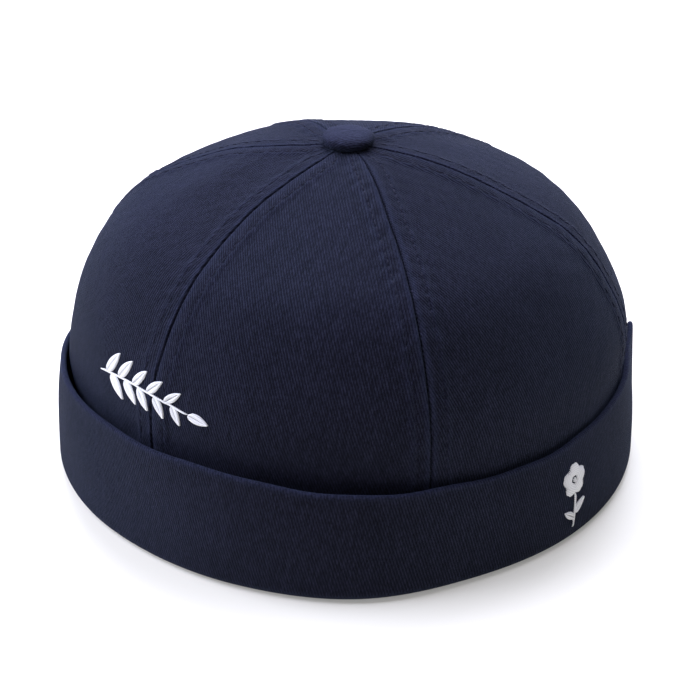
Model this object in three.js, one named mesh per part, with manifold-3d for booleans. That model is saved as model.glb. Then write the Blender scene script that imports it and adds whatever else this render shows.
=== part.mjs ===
// A brimless six-panel cap in cotton twill, with a covered top button and a turned-up cuff.
// Millimetres. +Z is up, and the cap stands on its lower fold at z = 0. The wearer faces along -Y,
// and the wearer's left is +X. Angles round the cap are in degrees from the front, towards +X.
import * as THREE from 'three';
import Module from 'manifold-3d';
import { mergeVertices } from 'three/addons/utils/BufferGeometryUtils.js';

const wasm = await Module();
wasm.setup();

// Cloth and clearances
const CLOTH = 1.6;
const GAP = 0.3;

// Crown: the radius of the middle of a panel at each height, from the lower edge to the hole in the top
const CROWN_SECTIONS = [
  { height: 2.4, radius: 92.0 },
  { height: 20.0, radius: 92.2 },
  { height: 40.0, radius: 92.4 },
  { height: 51.0, radius: 91.9 },
  { height: 61.0, radius: 89.3 },
  { height: 70.0, radius: 85.1 },
  { height: 78.7, radius: 79.7 },
  { height: 86.5, radius: 72.2 },
  { height: 93.4, radius: 60.4 },
  { height: 99.3, radius: 47.2 },
  { height: 103.9, radius: 35.4 },
  { height: 107.2, radius: 24.0 },
  { height: 109.4, radius: 11.0 },
  { height: 109.9, radius: 3.2 },
];
const PANEL_ROWS = 18;

// Seams: the angle of each seam, the panel that runs from it to the next, and how far the sewn line
// strays from that angle at four heights
const SEAMS = [
  { angle: 0, panel: 'panel_front_left', cuff: 1.6, shoulder: 1.7, dome: 0.2, top: 1.6 },
  { angle: 58, panel: 'panel_side_left', cuff: -0.4, shoulder: -0.4, dome: 0.9, top: 1.6 },
  { angle: 119, panel: 'panel_back_left', cuff: 0, shoulder: -1.2, dome: -0.8, top: -1.4 },
  { angle: 182, panel: 'panel_back_right', cuff: 0, shoulder: 0, dome: 0.6, top: -0.2 },
  { angle: 240, panel: 'panel_side_right', cuff: 0, shoulder: 1.0, dome: 3.2, top: 2.5 },
  { angle: 292, panel: 'panel_front_right', cuff: 0, shoulder: 0, dome: 0, top: 5.0 },
];
const STRAY_HEIGHTS = { cuff: 50, shoulder: 82, dome: 100, top: 108.2 };
const STRAY_RADIUS = 14;

// A seam stands out from the middle of its panels, less so inside the cuff, which holds the cloth in
const RIDGE = { low: 0.3, high: 1.2, startHeight: 36, endHeight: 60, sharpness: 1.5 };

// Two places where the crown is fuller, just above the cuff's rim
const FULLNESS = [
  { angle: 315, spread: 22, height: 39, reach: 9.5, size: 1.9 },
  { angle: 133, spread: 16, height: 52, reach: 10, size: 0.7 },
];

// Lines across a panel on each side: the distance from the seam, and the lift of the cloth there.
// The cloth dips into the seam, then lies on the seam allowance that is stitched down beside it.
const SEAM_LINES = [
  { distance: 0, lift: -0.5 },
  { distance: 1.4, lift: 0.4 },
  { distance: 5.6, lift: 0.4 },
  { distance: 7.2, lift: 0 },
];
const SEAM_LINES_SHARE = 0.36;
const MIDDLE_COLUMNS = 6;

// Cuff: the radius of its base, how far the rim stands in or out from that, and the rim's height
const CUFF_SECTIONS = [
  { angle: 0, base: 98.9, lean: 0, rim: 41.0 },
  { angle: 22, base: 100.2, lean: -0.6, rim: 40.4 },
  { angle: 44, base: 101.7, lean: -2.6, rim: 37.0 },
  { angle: 66, base: 98.2, lean: -2.2, rim: 35.2 },
  { angle: 90, base: 97.6, lean: -2.4, rim: 35.0 },
  { angle: 117, base: 97.4, lean: -2.0, rim: 37.2 },
  { angle: 130, base: 97.6, lean: -1.9, rim: 38.5 },
  { angle: 140, base: 97.8, lean: 0.8, rim: 39.4 },
  { angle: 180, base: 97.0, lean: 0.2, rim: 39.4 },
  { angle: 220, base: 97.3, lean: 0.2, rim: 39.4 },
  { angle: 248, base: 97.8, lean: -2.0, rim: 38.2 },
  { angle: 288, base: 98.2, lean: -2.2, rim: 35.0 },
  { angle: 318, base: 99.4, lean: -2.2, rim: 38.4 },
  { angle: 342, base: 99.2, lean: -1.2, rim: 40.4 },
];
const CUFF_STEPS = 88;
const CUFF_WALL = 2.0;
const FOLD_WALL = 1.8;
const FOLD_CORNER = 4.0;
const FOLD_INNER_CORNER = 0.8;
const CORNER_STEPS = 4;
const RIM_STEPS = 4;
const WALL_STEPS = 3;

// The fold's short inner leg, inside the lower edge of the crown
const LEG = { height: 11, wall: 1.3, clearance: 0.6 };

// The turned-up part stops short of the back, where only a low hem goes on behind the crown
const BACK_OPENING = { start: 139, end: 221, hem: 20, top: 70, innerRadius: 94, outerRadius: 120 };
const BACK_OPENING_STEPS = 16;

// Covered button, on a stem that goes through the hole where the panels meet
const BUTTON = { radius: 8.6, under: 110.3, edge: 1.9, top: 114.9, stemRadius: 1.9, stemBottom: 106.6 };
const BUTTON_ROUNDING = 0.9;
const BUTTON_SIDES = 28;
const BUTTON_DOME_STEPS = 6;

const NAVY_TWILL = { color: 0x2b3050, roughness: 0.92, metalness: 0 };

const FULL_TURN = 360;

// A point at an angle round the cap's axis
function around(angle, radius, height) {
  const turn = THREE.MathUtils.degToRad(angle);
  return new THREE.Vector3(radius * Math.sin(turn), -radius * Math.cos(turn), height);
}

// A column of the cuff's sections at any angle, as a smooth closed curve through its rows
function cuffValue(column, angle) {
  const rows = CUFF_SECTIONS;
  const count = rows.length;
  const row = (index) => {
    const turns = Math.floor(index / count);
    const source = rows[index - turns * count];
    return { angle: source.angle + turns * FULL_TURN, value: source[column] };
  };
  let first = 0;
  while (row(first + 1).angle <= angle) {
    first += 1;
  }
  const before = row(first - 1);
  const low = row(first);
  const high = row(first + 1);
  const after = row(first + 2);
  const span = high.angle - low.angle;
  const slopeLow = (high.value - before.value) / (high.angle - before.angle);
  const slopeHigh = (after.value - low.value) / (after.angle - low.angle);
  const u = (angle - low.angle) / span;
  const v = 1 - u;
  const ends = v * v * (1 + 2 * u) * low.value + u * u * (1 + 2 * v) * high.value;
  const slopes = u * v * span * (v * slopeLow - u * slopeHigh);
  return ends + slopes;
}

// A closed body from a grid of outer points and the grid of inner points behind it
function wallGeometry(outer, inner) {
  const rows = outer.length;
  const columns = outer[0].length;
  const layer = rows * columns;
  const position = [...outer.flat(), ...inner.flat()].flatMap((point) => point.toArray());
  const index = [];
  const quad = (a, b, c, d) => index.push(a, b, c, a, c, d);
  const at = (row, column) => row * columns + column;
  for (let row = 0; row + 1 < rows; row += 1) {
    for (let column = 0; column + 1 < columns; column += 1) {
      const a = at(row, column);
      const b = at(row, column + 1);
      const c = at(row + 1, column + 1);
      const d = at(row + 1, column);
      quad(a, b, c, d);
      quad(layer + a, layer + d, layer + c, layer + b);
    }
    const left = at(row, 0);
    const leftAbove = at(row + 1, 0);
    quad(left, leftAbove, layer + leftAbove, layer + left);
    const right = at(row, columns - 1);
    const rightAbove = at(row + 1, columns - 1);
    quad(rightAbove, right, layer + right, layer + rightAbove);
  }
  for (let column = 0; column + 1 < columns; column += 1) {
    const low = at(0, column);
    const lowNext = at(0, column + 1);
    quad(lowNext, low, layer + low, layer + lowNext);
    const high = at(rows - 1, column);
    const highNext = at(rows - 1, column + 1);
    quad(high, highNext, layer + highNext, layer + high);
  }
  return indexedGeometry(position, index);
}

// A closed ring from equal loops of points, one for each step round the axis
function ringGeometry(loops) {
  const steps = loops.length;
  const count = loops[0].length;
  const position = loops.flat().flatMap((point) => point.toArray());
  const index = [];
  for (let step = 0; step < steps; step += 1) {
    const next = (step + 1) % steps;
    for (let k = 0; k < count; k += 1) {
      const a = step * count + k;
      const b = next * count + k;
      const c = next * count + ((k + 1) % count);
      const d = step * count + ((k + 1) % count);
      index.push(a, b, c, a, c, d);
    }
  }
  return indexedGeometry(position, index);
}

function indexedGeometry(position, index) {
  const geometry = new THREE.BufferGeometry();
  geometry.setAttribute('position', new THREE.Float32BufferAttribute(position, 3));
  geometry.setIndex(index);
  geometry.computeVertexNormals();
  return geometry;
}

// A closed geometry as a solid for cutting
function solidOf(geometry) {
  const bare = geometry.clone();
  bare.deleteAttribute('normal');
  bare.deleteAttribute('uv');
  const merged = mergeVertices(bare);
  const vertProperties = new Float32Array(merged.attributes.position.array);
  const triVerts = new Uint32Array(merged.index.array);
  return new wasm.Manifold(new wasm.Mesh({ numProp: 3, vertProperties, triVerts }));
}

function geometryOf(solid) {
  const mesh = solid.getMesh();
  return indexedGeometry(Array.from(mesh.vertProperties), Array.from(mesh.triVerts));
}

function twillMesh(name, geometry) {
  const mesh = new THREE.Mesh(geometry, new THREE.MeshStandardMaterial(NAVY_TWILL));
  mesh.name = name;
  return mesh;
}

// Crown panels

const crownProfile = new THREE.CatmullRomCurve3(
  CROWN_SECTIONS.map(({ radius, height }) => new THREE.Vector3(radius, 0, height)),
  false,
  'centripetal',
);

// How far the seams stand out at a height
function ridgeAt(height) {
  const rise = THREE.MathUtils.smoothstep(height, RIDGE.startHeight, RIDGE.endHeight);
  return THREE.MathUtils.lerp(RIDGE.low, RIDGE.high, rise);
}

// How far the cloth stands out where the crown is fuller
function fullnessAt(angle, height) {
  let stand = 0;
  for (const full of FULLNESS) {
    const sideways = (angle - full.angle) / full.spread;
    const upwards = (height - full.height) / full.reach;
    stand += full.size * Math.exp(-(sideways ** 2) - upwards ** 2);
  }
  return stand;
}

// The angle of a seam at one place on the crown; the seam after the last is the first one again
function seamAngle(number, radius, height) {
  const turns = Math.floor(number / SEAMS.length);
  const seam = SEAMS[number - turns * SEAMS.length];
  const heights = Object.entries(STRAY_HEIGHTS);
  let stray = seam[heights[0][0]];
  for (let k = 1; k < heights.length; k += 1) {
    const [below, low] = heights[k - 1];
    const [above, high] = heights[k];
    stray += (seam[above] - seam[below]) * THREE.MathUtils.smoothstep(height, low, high);
  }
  const turn = THREE.MathUtils.radToDeg(stray / Math.max(radius, STRAY_RADIUS));
  return seam.angle + turns * FULL_TURN + turn;
}

// The lines across a panel of this width, from one seam to the other: distance along it and lift
function panelColumns(width) {
  const reach = SEAM_LINES.at(-1).distance;
  const shrink = Math.min(1, (SEAM_LINES_SHARE * width) / reach);
  const left = SEAM_LINES.map(({ distance, lift }) => ({ along: distance * shrink, lift: lift * shrink }));
  const right = left.map(({ along, lift }) => ({ along: width - along, lift })).reverse();
  const middle = [];
  const start = reach * shrink;
  for (let k = 1; k < MIDDLE_COLUMNS; k += 1) {
    middle.push({ along: THREE.MathUtils.lerp(start, width - start, k / MIDDLE_COLUMNS), lift: 0 });
  }
  return [...left, ...middle, ...right];
}

function panelGeometry(number) {
  const outer = [];
  const inner = [];
  for (let row = 0; row <= PANEL_ROWS; row += 1) {
    const share = row / PANEL_ROWS;
    const { x: radius, z: height } = crownProfile.getPointAt(share);
    const { x: run, z: rise } = crownProfile.getTangentAt(share);
    const startAngle = seamAngle(number, radius, height);
    const endAngle = seamAngle(number + 1, radius, height);
    const width = radius * THREE.MathUtils.degToRad(endAngle - startAngle) - GAP;
    const outerRow = [];
    const innerRow = [];
    for (const { along, lift } of panelColumns(width)) {
      const across = along / width;
      const angle = startAngle + THREE.MathUtils.radToDeg((GAP / 2 + along) / radius);
      const ridge = ridgeAt(height) * Math.min(1, radius / CROWN_SECTIONS[0].radius);
      const bow = ridge * (1 - Math.sin(Math.PI * across) ** RIDGE.sharpness);
      const stand = bow + fullnessAt(angle, height);
      const place = (offset) => around(angle, radius + offset * rise, height - offset * run);
      outerRow.push(place(stand + lift));
      innerRow.push(place(stand - CLOTH));
    }
    outer.push(outerRow);
    inner.push(innerRow);
  }
  return wallGeometry(outer, inner);
}

function crownPanels() {
  return SEAMS.map(({ panel }, number) => twillMesh(panel, panelGeometry(number)));
}

// Cuff

// One section of the folded cuff, as a loop of points: the underside, the outer wall, the rolled rim,
// the inside of the wall, the floor of the fold and its inner leg
function cuffLoop(angle) {
  const base = cuffValue('base', angle);
  const rimRadius = base + cuffValue('lean', angle);
  const rim = cuffValue('rim', angle);
  const roll = CUFF_WALL / 2;
  const loop = [];
  const add = (radius, height) => loop.push(around(angle, radius, height));
  for (let k = 0; k <= CORNER_STEPS; k += 1) {
    const turn = (k / CORNER_STEPS) * (Math.PI / 2);
    add(base - FOLD_CORNER * (1 - Math.sin(turn)), FOLD_CORNER * (1 - Math.cos(turn)));
  }
  const wallTop = rim - roll;
  const addWall = (share, depth) => {
    const radius = THREE.MathUtils.lerp(base, rimRadius, share);
    add(radius - depth, THREE.MathUtils.lerp(FOLD_CORNER, wallTop, share));
  };
  for (let k = 1; k <= WALL_STEPS; k += 1) {
    addWall(k / WALL_STEPS, 0);
  }
  for (let k = 1; k <= RIM_STEPS; k += 1) {
    const turn = (k / RIM_STEPS) * Math.PI;
    add(rimRadius - roll + roll * Math.cos(turn), wallTop + roll * Math.sin(turn));
  }
  for (let k = WALL_STEPS - 1; k >= 0; k -= 1) {
    addWall(k / WALL_STEPS, CUFF_WALL);
  }
  const legOuter = CROWN_SECTIONS[0].radius - CLOTH - LEG.clearance;
  const legInner = legOuter - LEG.wall;
  add(base - FOLD_CORNER, FOLD_WALL);
  add(legOuter, FOLD_WALL);
  add(legOuter, LEG.height);
  add(legInner, LEG.height);
  add(legInner, FOLD_INNER_CORNER);
  add(legInner + FOLD_INNER_CORNER, 0);
  return loop;
}

// The block that is cut out of the cuff at the back
function backOpening() {
  const { start, end, hem, top, innerRadius, outerRadius } = BACK_OPENING;
  const steps = BACK_OPENING_STEPS;
  const shape = new THREE.Shape();
  const corner = (angle, radius) => around(angle, radius, 0);
  const first = corner(start, innerRadius);
  shape.moveTo(first.x, first.y);
  for (let k = 0; k <= steps; k += 1) {
    const point = corner(THREE.MathUtils.lerp(start, end, k / steps), outerRadius);
    shape.lineTo(point.x, point.y);
  }
  for (let k = steps; k > 0; k -= 1) {
    const point = corner(THREE.MathUtils.lerp(start, end, k / steps), innerRadius);
    shape.lineTo(point.x, point.y);
  }
  const block = new THREE.ExtrudeGeometry(shape, { depth: top - hem, bevelEnabled: false });
  return block.translate(0, 0, hem);
}

function cuff() {
  const loops = [];
  for (let step = 0; step < CUFF_STEPS; step += 1) {
    loops.push(cuffLoop((step / CUFF_STEPS) * FULL_TURN));
  }
  const cut = solidOf(ringGeometry(loops)).subtract(solidOf(backOpening()));
  return twillMesh('cuff', geometryOf(cut));
}

// Top button

function topButton() {
  const { radius, under, edge, top, stemRadius, stemBottom } = BUTTON;
  const profile = [
    new THREE.Vector2(0, stemBottom),
    new THREE.Vector2(stemRadius, stemBottom),
    new THREE.Vector2(stemRadius, under),
    new THREE.Vector2(radius - edge, under),
  ];
  const shoulder = under + edge;
  for (let k = 0; k < BUTTON_DOME_STEPS; k += 1) {
    const turn = (k / BUTTON_DOME_STEPS) * (Math.PI / 2);
    const reach = Math.cos(turn) ** BUTTON_ROUNDING;
    const rise = Math.sin(turn) ** BUTTON_ROUNDING;
    profile.push(new THREE.Vector2(radius * reach, shoulder + (top - shoulder) * rise));
  }
  profile.push(new THREE.Vector2(0, top));
  const geometry = new THREE.LatheGeometry(profile, BUTTON_SIDES);
  return twillMesh('top_button', geometry.rotateX(Math.PI / 2));
}

// The whole cap, with its origin under the middle of its outline
function cap() {
  const group = new THREE.Group();
  group.add(...crownPanels(), cuff(), topButton());
  const centre = new THREE.Box3().setFromObject(group).getCenter(new THREE.Vector3());
  group.position.set(-centre.x, -centre.y, 0);
  return group;
}

export default cap();
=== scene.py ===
"""Docker beanie in navy cotton twill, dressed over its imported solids.

Lengths are in metres and the frame is the solids' own: +Z is up, the wearer faces -Y and the wearer's left
is +X. Angles round the cap start at the front and grow towards +X.
"""
import logging
import math
from dataclasses import dataclass, field
from enum import Enum
from typing import Protocol

import bmesh
import bpy
import numpy as np
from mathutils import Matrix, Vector
from numpy.typing import NDArray


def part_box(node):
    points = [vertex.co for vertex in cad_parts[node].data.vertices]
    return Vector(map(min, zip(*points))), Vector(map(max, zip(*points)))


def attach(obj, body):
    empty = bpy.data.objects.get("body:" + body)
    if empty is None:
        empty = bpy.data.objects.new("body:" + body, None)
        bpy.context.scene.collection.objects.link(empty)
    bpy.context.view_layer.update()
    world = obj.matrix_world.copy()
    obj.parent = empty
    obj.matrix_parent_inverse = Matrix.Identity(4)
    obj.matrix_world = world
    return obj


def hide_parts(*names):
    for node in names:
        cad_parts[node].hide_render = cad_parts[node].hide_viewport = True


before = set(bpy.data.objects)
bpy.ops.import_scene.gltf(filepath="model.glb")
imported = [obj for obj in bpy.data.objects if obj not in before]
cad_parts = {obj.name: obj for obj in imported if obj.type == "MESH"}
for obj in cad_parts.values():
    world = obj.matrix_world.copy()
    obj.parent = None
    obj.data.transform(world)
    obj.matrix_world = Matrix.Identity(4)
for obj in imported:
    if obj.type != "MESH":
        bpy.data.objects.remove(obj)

Array = NDArray[np.float64]
Colour = tuple[float, float, float, float]
Faces = list[list[int]]
Piece = bpy.types.Object
Socket = bpy.types.NodeSocket

LOG = logging.getLogger("docker_beanie")

MM = 0.001
TAU = 2.0 * math.pi
FULL_TURN = 360.0
BODY = "root"
# name of the paleness attribute: wearing, and painted highlight on edges and tops that catch the light
CLOTH_MAP = "cloth"
WEAR_AND_HIGHLIGHT_NAME = "wear_and_highlight"


class Slot(Enum):
    """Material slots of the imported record."""

    CROWN = "navy_twill"
    CUFF = "navy_cuff_twill"
    BUTTON = "navy_button_twill"
    SEWING_THREAD = "navy_thread"
    EMBROIDERY_THREAD = "white_thread"


class Side(Enum):
    """Side of a seam, as a sign along the way round the cap."""

    BEFORE = -1
    AFTER = 1


class Held(Enum):
    """How a sheet of cloth is held."""

    STRETCHED = "stretched"
    FOLDED = "folded"


@dataclass(frozen=True)
class CrownRow:
    """Radius of the middle of a panel at one height."""

    height: float  # height above the lower fold
    radius: float  # distance from the cap's axis


@dataclass(frozen=True)
class SeamRow:
    """One seam of the crown and the panel that starts there."""

    degrees: float  # angle of the seam round the cap
    panel: str  # name of the panel that runs on to the next seam
    cuff: float  # how far the sewn line strays from its angle by the cuff
    shoulder: float  # how far it strays where the crown turns in
    dome: float  # how far it strays on the dome
    top: float  # how far it strays by the button
    grain: float  # turn of the panel's cloth, in degrees


@dataclass(frozen=True)
class CuffRow:
    """Plan and height of the cuff at one angle."""

    degrees: float  # angle round the cap
    base: float  # outer radius low down
    lean: float  # how much further out the rim stands than the base
    rim: float  # height of the rim


@dataclass(frozen=True)
class FullRow:
    """One place where the crown is fuller."""

    degrees: float  # angle of its middle round the cap
    spread: float  # angle over which it fades, in degrees
    height: float  # height of its middle
    reach: float  # height over which it fades
    size: float  # how far the cloth stands out


CROWN_ROWS = (
    CrownRow(height=2.4 * MM, radius=92.0 * MM),
    CrownRow(height=20.0 * MM, radius=92.2 * MM),
    CrownRow(height=40.0 * MM, radius=92.4 * MM),
    CrownRow(height=51.0 * MM, radius=91.9 * MM),
    CrownRow(height=61.0 * MM, radius=89.3 * MM),
    CrownRow(height=70.0 * MM, radius=85.1 * MM),
    CrownRow(height=78.7 * MM, radius=79.7 * MM),
    CrownRow(height=86.5 * MM, radius=72.2 * MM),
    CrownRow(height=93.4 * MM, radius=60.4 * MM),
    CrownRow(height=99.3 * MM, radius=47.2 * MM),
    CrownRow(height=103.9 * MM, radius=35.4 * MM),
    CrownRow(height=107.2 * MM, radius=24.0 * MM),
    CrownRow(height=109.4 * MM, radius=11.0 * MM),
    CrownRow(height=109.9 * MM, radius=3.2 * MM),
)

SEAM_ROWS = (
    SeamRow(
        degrees=0.0, panel="panel_front_left", grain=8.0,
        cuff=1.6 * MM, shoulder=1.7 * MM, dome=0.2 * MM, top=1.6 * MM,
    ),
    SeamRow(
        degrees=58.0, panel="panel_side_left", grain=12.0,
        cuff=-0.4 * MM, shoulder=-0.4 * MM, dome=0.9 * MM, top=1.6 * MM,
    ),
    SeamRow(
        degrees=119.0, panel="panel_back_left", grain=14.0,
        cuff=0.0, shoulder=-1.2 * MM, dome=-0.8 * MM, top=-1.4 * MM,
    ),
    SeamRow(
        degrees=182.0, panel="panel_back_right", grain=11.0,
        cuff=0.0, shoulder=0.0, dome=0.6 * MM, top=-0.2 * MM,
    ),
    SeamRow(
        degrees=240.0, panel="panel_side_right", grain=13.0,
        cuff=0.0, shoulder=1.0 * MM, dome=3.2 * MM, top=2.5 * MM,
    ),
    SeamRow(
        degrees=292.0, panel="panel_front_right", grain=10.0,
        cuff=0.0, shoulder=0.0, dome=0.0, top=5.0 * MM,
    ),
)

FULL_ROWS = (
    FullRow(degrees=315.0, spread=22.0, height=39.0 * MM, reach=9.5 * MM, size=1.9 * MM),
    FullRow(degrees=133.0, spread=16.0, height=52.0 * MM, reach=10.0 * MM, size=0.7 * MM),
)

CUFF_ROWS = (
    CuffRow(degrees=0.0, base=98.9 * MM, lean=0.0, rim=41.0 * MM),
    CuffRow(degrees=22.0, base=100.2 * MM, lean=-0.6 * MM, rim=40.4 * MM),
    CuffRow(degrees=44.0, base=101.7 * MM, lean=-2.6 * MM, rim=37.0 * MM),
    CuffRow(degrees=66.0, base=98.2 * MM, lean=-2.2 * MM, rim=35.2 * MM),
    CuffRow(degrees=90.0, base=97.6 * MM, lean=-2.4 * MM, rim=35.0 * MM),
    CuffRow(degrees=117.0, base=97.4 * MM, lean=-2.0 * MM, rim=37.2 * MM),
    CuffRow(degrees=130.0, base=97.6 * MM, lean=-1.9 * MM, rim=38.5 * MM),
    CuffRow(degrees=140.0, base=97.8 * MM, lean=0.8 * MM, rim=39.4 * MM),
    CuffRow(degrees=180.0, base=97.0 * MM, lean=0.2 * MM, rim=39.4 * MM),
    CuffRow(degrees=220.0, base=97.3 * MM, lean=0.2 * MM, rim=39.4 * MM),
    CuffRow(degrees=248.0, base=97.8 * MM, lean=-2.0 * MM, rim=38.2 * MM),
    CuffRow(degrees=288.0, base=98.2 * MM, lean=-2.2 * MM, rim=35.0 * MM),
    CuffRow(degrees=318.0, base=99.4 * MM, lean=-2.2 * MM, rim=38.4 * MM),
    CuffRow(degrees=342.0, base=99.2 * MM, lean=-1.2 * MM, rim=40.4 * MM),
)


def smooth_step(value: Array, start: float, end: float) -> Array:
    """Smooth rise from 0 at start to 1 at end.

    Args:
        value: where to read the rise.
        start: value where it leaves 0.
        end: value where it reaches 1.

    Returns:
        The share risen at each value.
    """
    share = np.clip((value - start) / (end - start), 0.0, 1.0)
    return share * share * (3.0 - 2.0 * share)


def bell(value: Array, middle: float, width: float) -> Array:
    """Bell-shaped bump of height 1.

    Args:
        value: where to read the bump.
        middle: value at its peak.
        width: distance from the peak at which it has fallen to about a third.

    Returns:
        The bump at each value.
    """
    return np.exp(-(((value - middle) / width) ** 2))


def around(axis: Vector, angle: Array, radius: Array, height: Array) -> Array:
    """Points at angles round an upright axis.

    Args:
        axis: a point of the axis.
        angle: angles in radians from the front.
        radius: distances from the axis.
        height: heights.

    Returns:
        The points, with x, y and z along the last dimension.
    """
    angle, radius, height = np.broadcast_arrays(angle, radius, height)
    return np.stack([axis.x + radius * np.sin(angle), axis.y - radius * np.cos(angle), height], axis=-1)


def centripetal_curve(knots: Array, steps: int) -> Array:
    """Smooth open curve through knots, of the kind that the solids use.

    Args:
        knots: the points to pass through.
        steps: points to place between one knot and the next.

    Returns:
        Points along the curve.
    """
    ends = np.vstack([2.0 * knots[0] - knots[1], knots, 2.0 * knots[-1] - knots[-2]])
    spans = np.sqrt(np.linalg.norm(np.diff(ends, axis=0), axis=1))
    share = np.linspace(0.0, 1.0, steps, endpoint=False)[:, None]
    near = 2.0 * share**3 - 3.0 * share**2 + 1.0
    stretches = []
    for k in range(1, len(ends) - 2):
        before, start, end, after = ends[k - 1 : k + 3]
        first, middle, last = spans[k - 1 : k + 2]
        leave = (start - before) / first - (end - before) / (first + middle) + (end - start) / middle
        arrive = (end - start) / middle - (after - start) / (middle + last) + (after - end) / last
        slopes = (share**3 - 2.0 * share**2 + share) * leave + (share**3 - share**2) * arrive
        stretches.append(near * start + (1.0 - near) * end + middle * slopes)
    return np.vstack([*stretches, knots[-1:]])


def grid_faces(number: Array) -> Faces:
    """Quads of one or more grids of points.

    Args:
        number: numbers of the points, with rows and columns along the last two dimensions.

    Returns:
        The quads.
    """
    low = number[..., :-1, :]
    high = number[..., 1:, :]
    quads = np.stack([low[..., :-1], low[..., 1:], high[..., 1:], high[..., :-1]], axis=-1)
    return quads.reshape(-1, quads.shape[-1]).tolist()


def bridge_faces(first: list[int], second: list[int]) -> Faces:
    """Triangles between two chains of points that run side by side and differ in count.

    Args:
        first: numbers of one chain's points.
        second: numbers of the other chain's points.

    Returns:
        The triangles.
    """
    faces: Faces = []
    here = 0
    there = 0
    last_here = len(first) - 1
    last_there = len(second) - 1
    while here < last_here or there < last_there:
        if here < last_here and (here + 1) * last_there <= (there + 1) * last_here:
            faces.append([first[here], first[here + 1], second[there]])
            here += 1
        else:
            faces.append([first[here], second[there + 1], second[there]])
            there += 1
    return faces


@dataclass(frozen=True)
class SoftWaves:
    """Slow unevenness of cloth, as a few waves that close up round the cap."""

    seed: int  # choice of waves
    size: float  # height of the unevenness
    turns: tuple[int, int]  # least and most waves round the cap
    rows: tuple[float, float]  # least and most waves in a metre along the cloth
    count: int = 8  # number of waves added up

    def height(self, angle: Array, along: Array) -> Array:
        """Unevenness at places on the cloth.

        Args:
            angle: angles round the cap in radians.
            along: distances along the cloth.

        Returns:
            Height above the even surface.
        """
        dice = np.random.default_rng(self.seed)
        total = np.zeros(np.broadcast(angle, along).shape)
        for _ in range(self.count):
            turns = dice.integers(*self.turns, endpoint=True)
            rows = dice.uniform(*self.rows) * dice.choice((-1.0, 1.0))
            total += np.sin(turns * angle + TAU * rows * along + dice.uniform(0.0, TAU))
        return self.size * total / math.sqrt(self.count)


def place_object(name: str, data: bpy.types.ID) -> Piece:
    """Makes an object and links it to the scene.

    Args:
        name: name of the object.
        data: its mesh, light or camera.

    Returns:
        The object.
    """
    made = bpy.data.objects.new(name, data)
    bpy.context.scene.collection.objects.link(made)
    return made


@dataclass
class ClothMesh:
    """Points and faces of one piece, with the place on the flat cloth and the paleness of each point, from
    wearing and from painted highlight.
    """

    points: Array  # places of the points
    faces: Faces  # point numbers of each face
    cloth: Array  # place of each point on the flat cloth
    wear_and_highlight: Array  # paleness of each point, from 0 to 1: wearing, and painted highlight on edges and tops that catch the light
    lap: float = 0.0  # length of cloth after which the piece closes on itself, or 0

    def build(self, name: str, sharp_degrees: float = 60.0) -> Piece:
        """Makes the mesh object.

        Args:
            name: name of the piece.
            sharp_degrees: edges that bend by more than this keep a crease.

        Returns:
            The piece, linked to the scene.
        """
        mesh = bpy.data.meshes.new(name)
        mesh.from_pydata(self.points.tolist(), [], self.faces)
        work = bmesh.new()
        work.from_mesh(mesh)
        bmesh.ops.recalc_face_normals(work, faces=work.faces)
        work.to_mesh(mesh)
        work.free()
        self._lay_cloth(mesh)
        wear_and_highlight = mesh.attributes.new(WEAR_AND_HIGHLIGHT_NAME, "FLOAT", "POINT")
        wear_and_highlight.data.foreach_set("value", self.wear_and_highlight.astype(np.float32))
        mesh.shade_smooth()
        mesh.set_sharp_from_angle(angle=math.radians(sharp_degrees))
        return place_object(name, mesh)

    def _lay_cloth(self, mesh: bpy.types.Mesh) -> None:
        """Writes the place on the flat cloth at every corner.

        Args:
            mesh: mesh with the same points.
        """
        corners = np.empty(len(mesh.loops), dtype=np.int32)
        mesh.loops.foreach_get("vertex_index", corners)
        starts = np.empty(len(mesh.polygons), dtype=np.int32)
        mesh.polygons.foreach_get("loop_start", starts)
        counts = np.empty(len(mesh.polygons), dtype=np.int32)
        mesh.polygons.foreach_get("loop_total", counts)
        place = self.cloth[corners].astype(np.float32)
        if self.lap:
            furthest = np.repeat(np.maximum.reduceat(place[:, 0], starts), counts)
            place[:, 0] += np.where(furthest - place[:, 0] > self.lap / 2.0, self.lap, 0.0)
        layer = mesh.uv_layers.new(name=CLOTH_MAP)
        layer.data.foreach_set("uv", place.ravel())


def dress(piece: Piece, finish: "Finish", node: str | None = None) -> Piece:
    """Gives a piece its finish and its body, and logs the finish's slot.

    Args:
        piece: the piece.
        finish: its finish.
        node: solid that the piece stands for, if any.

    Returns:
        The same piece.
    """
    piece.data.materials.append(finish.material())
    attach(piece, BODY)
    if node is not None:
        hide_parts(node)
    LOG.info("%s: %d faces, %s", piece.name, len(piece.data.polygons), finish.slot.value)
    return piece


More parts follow.
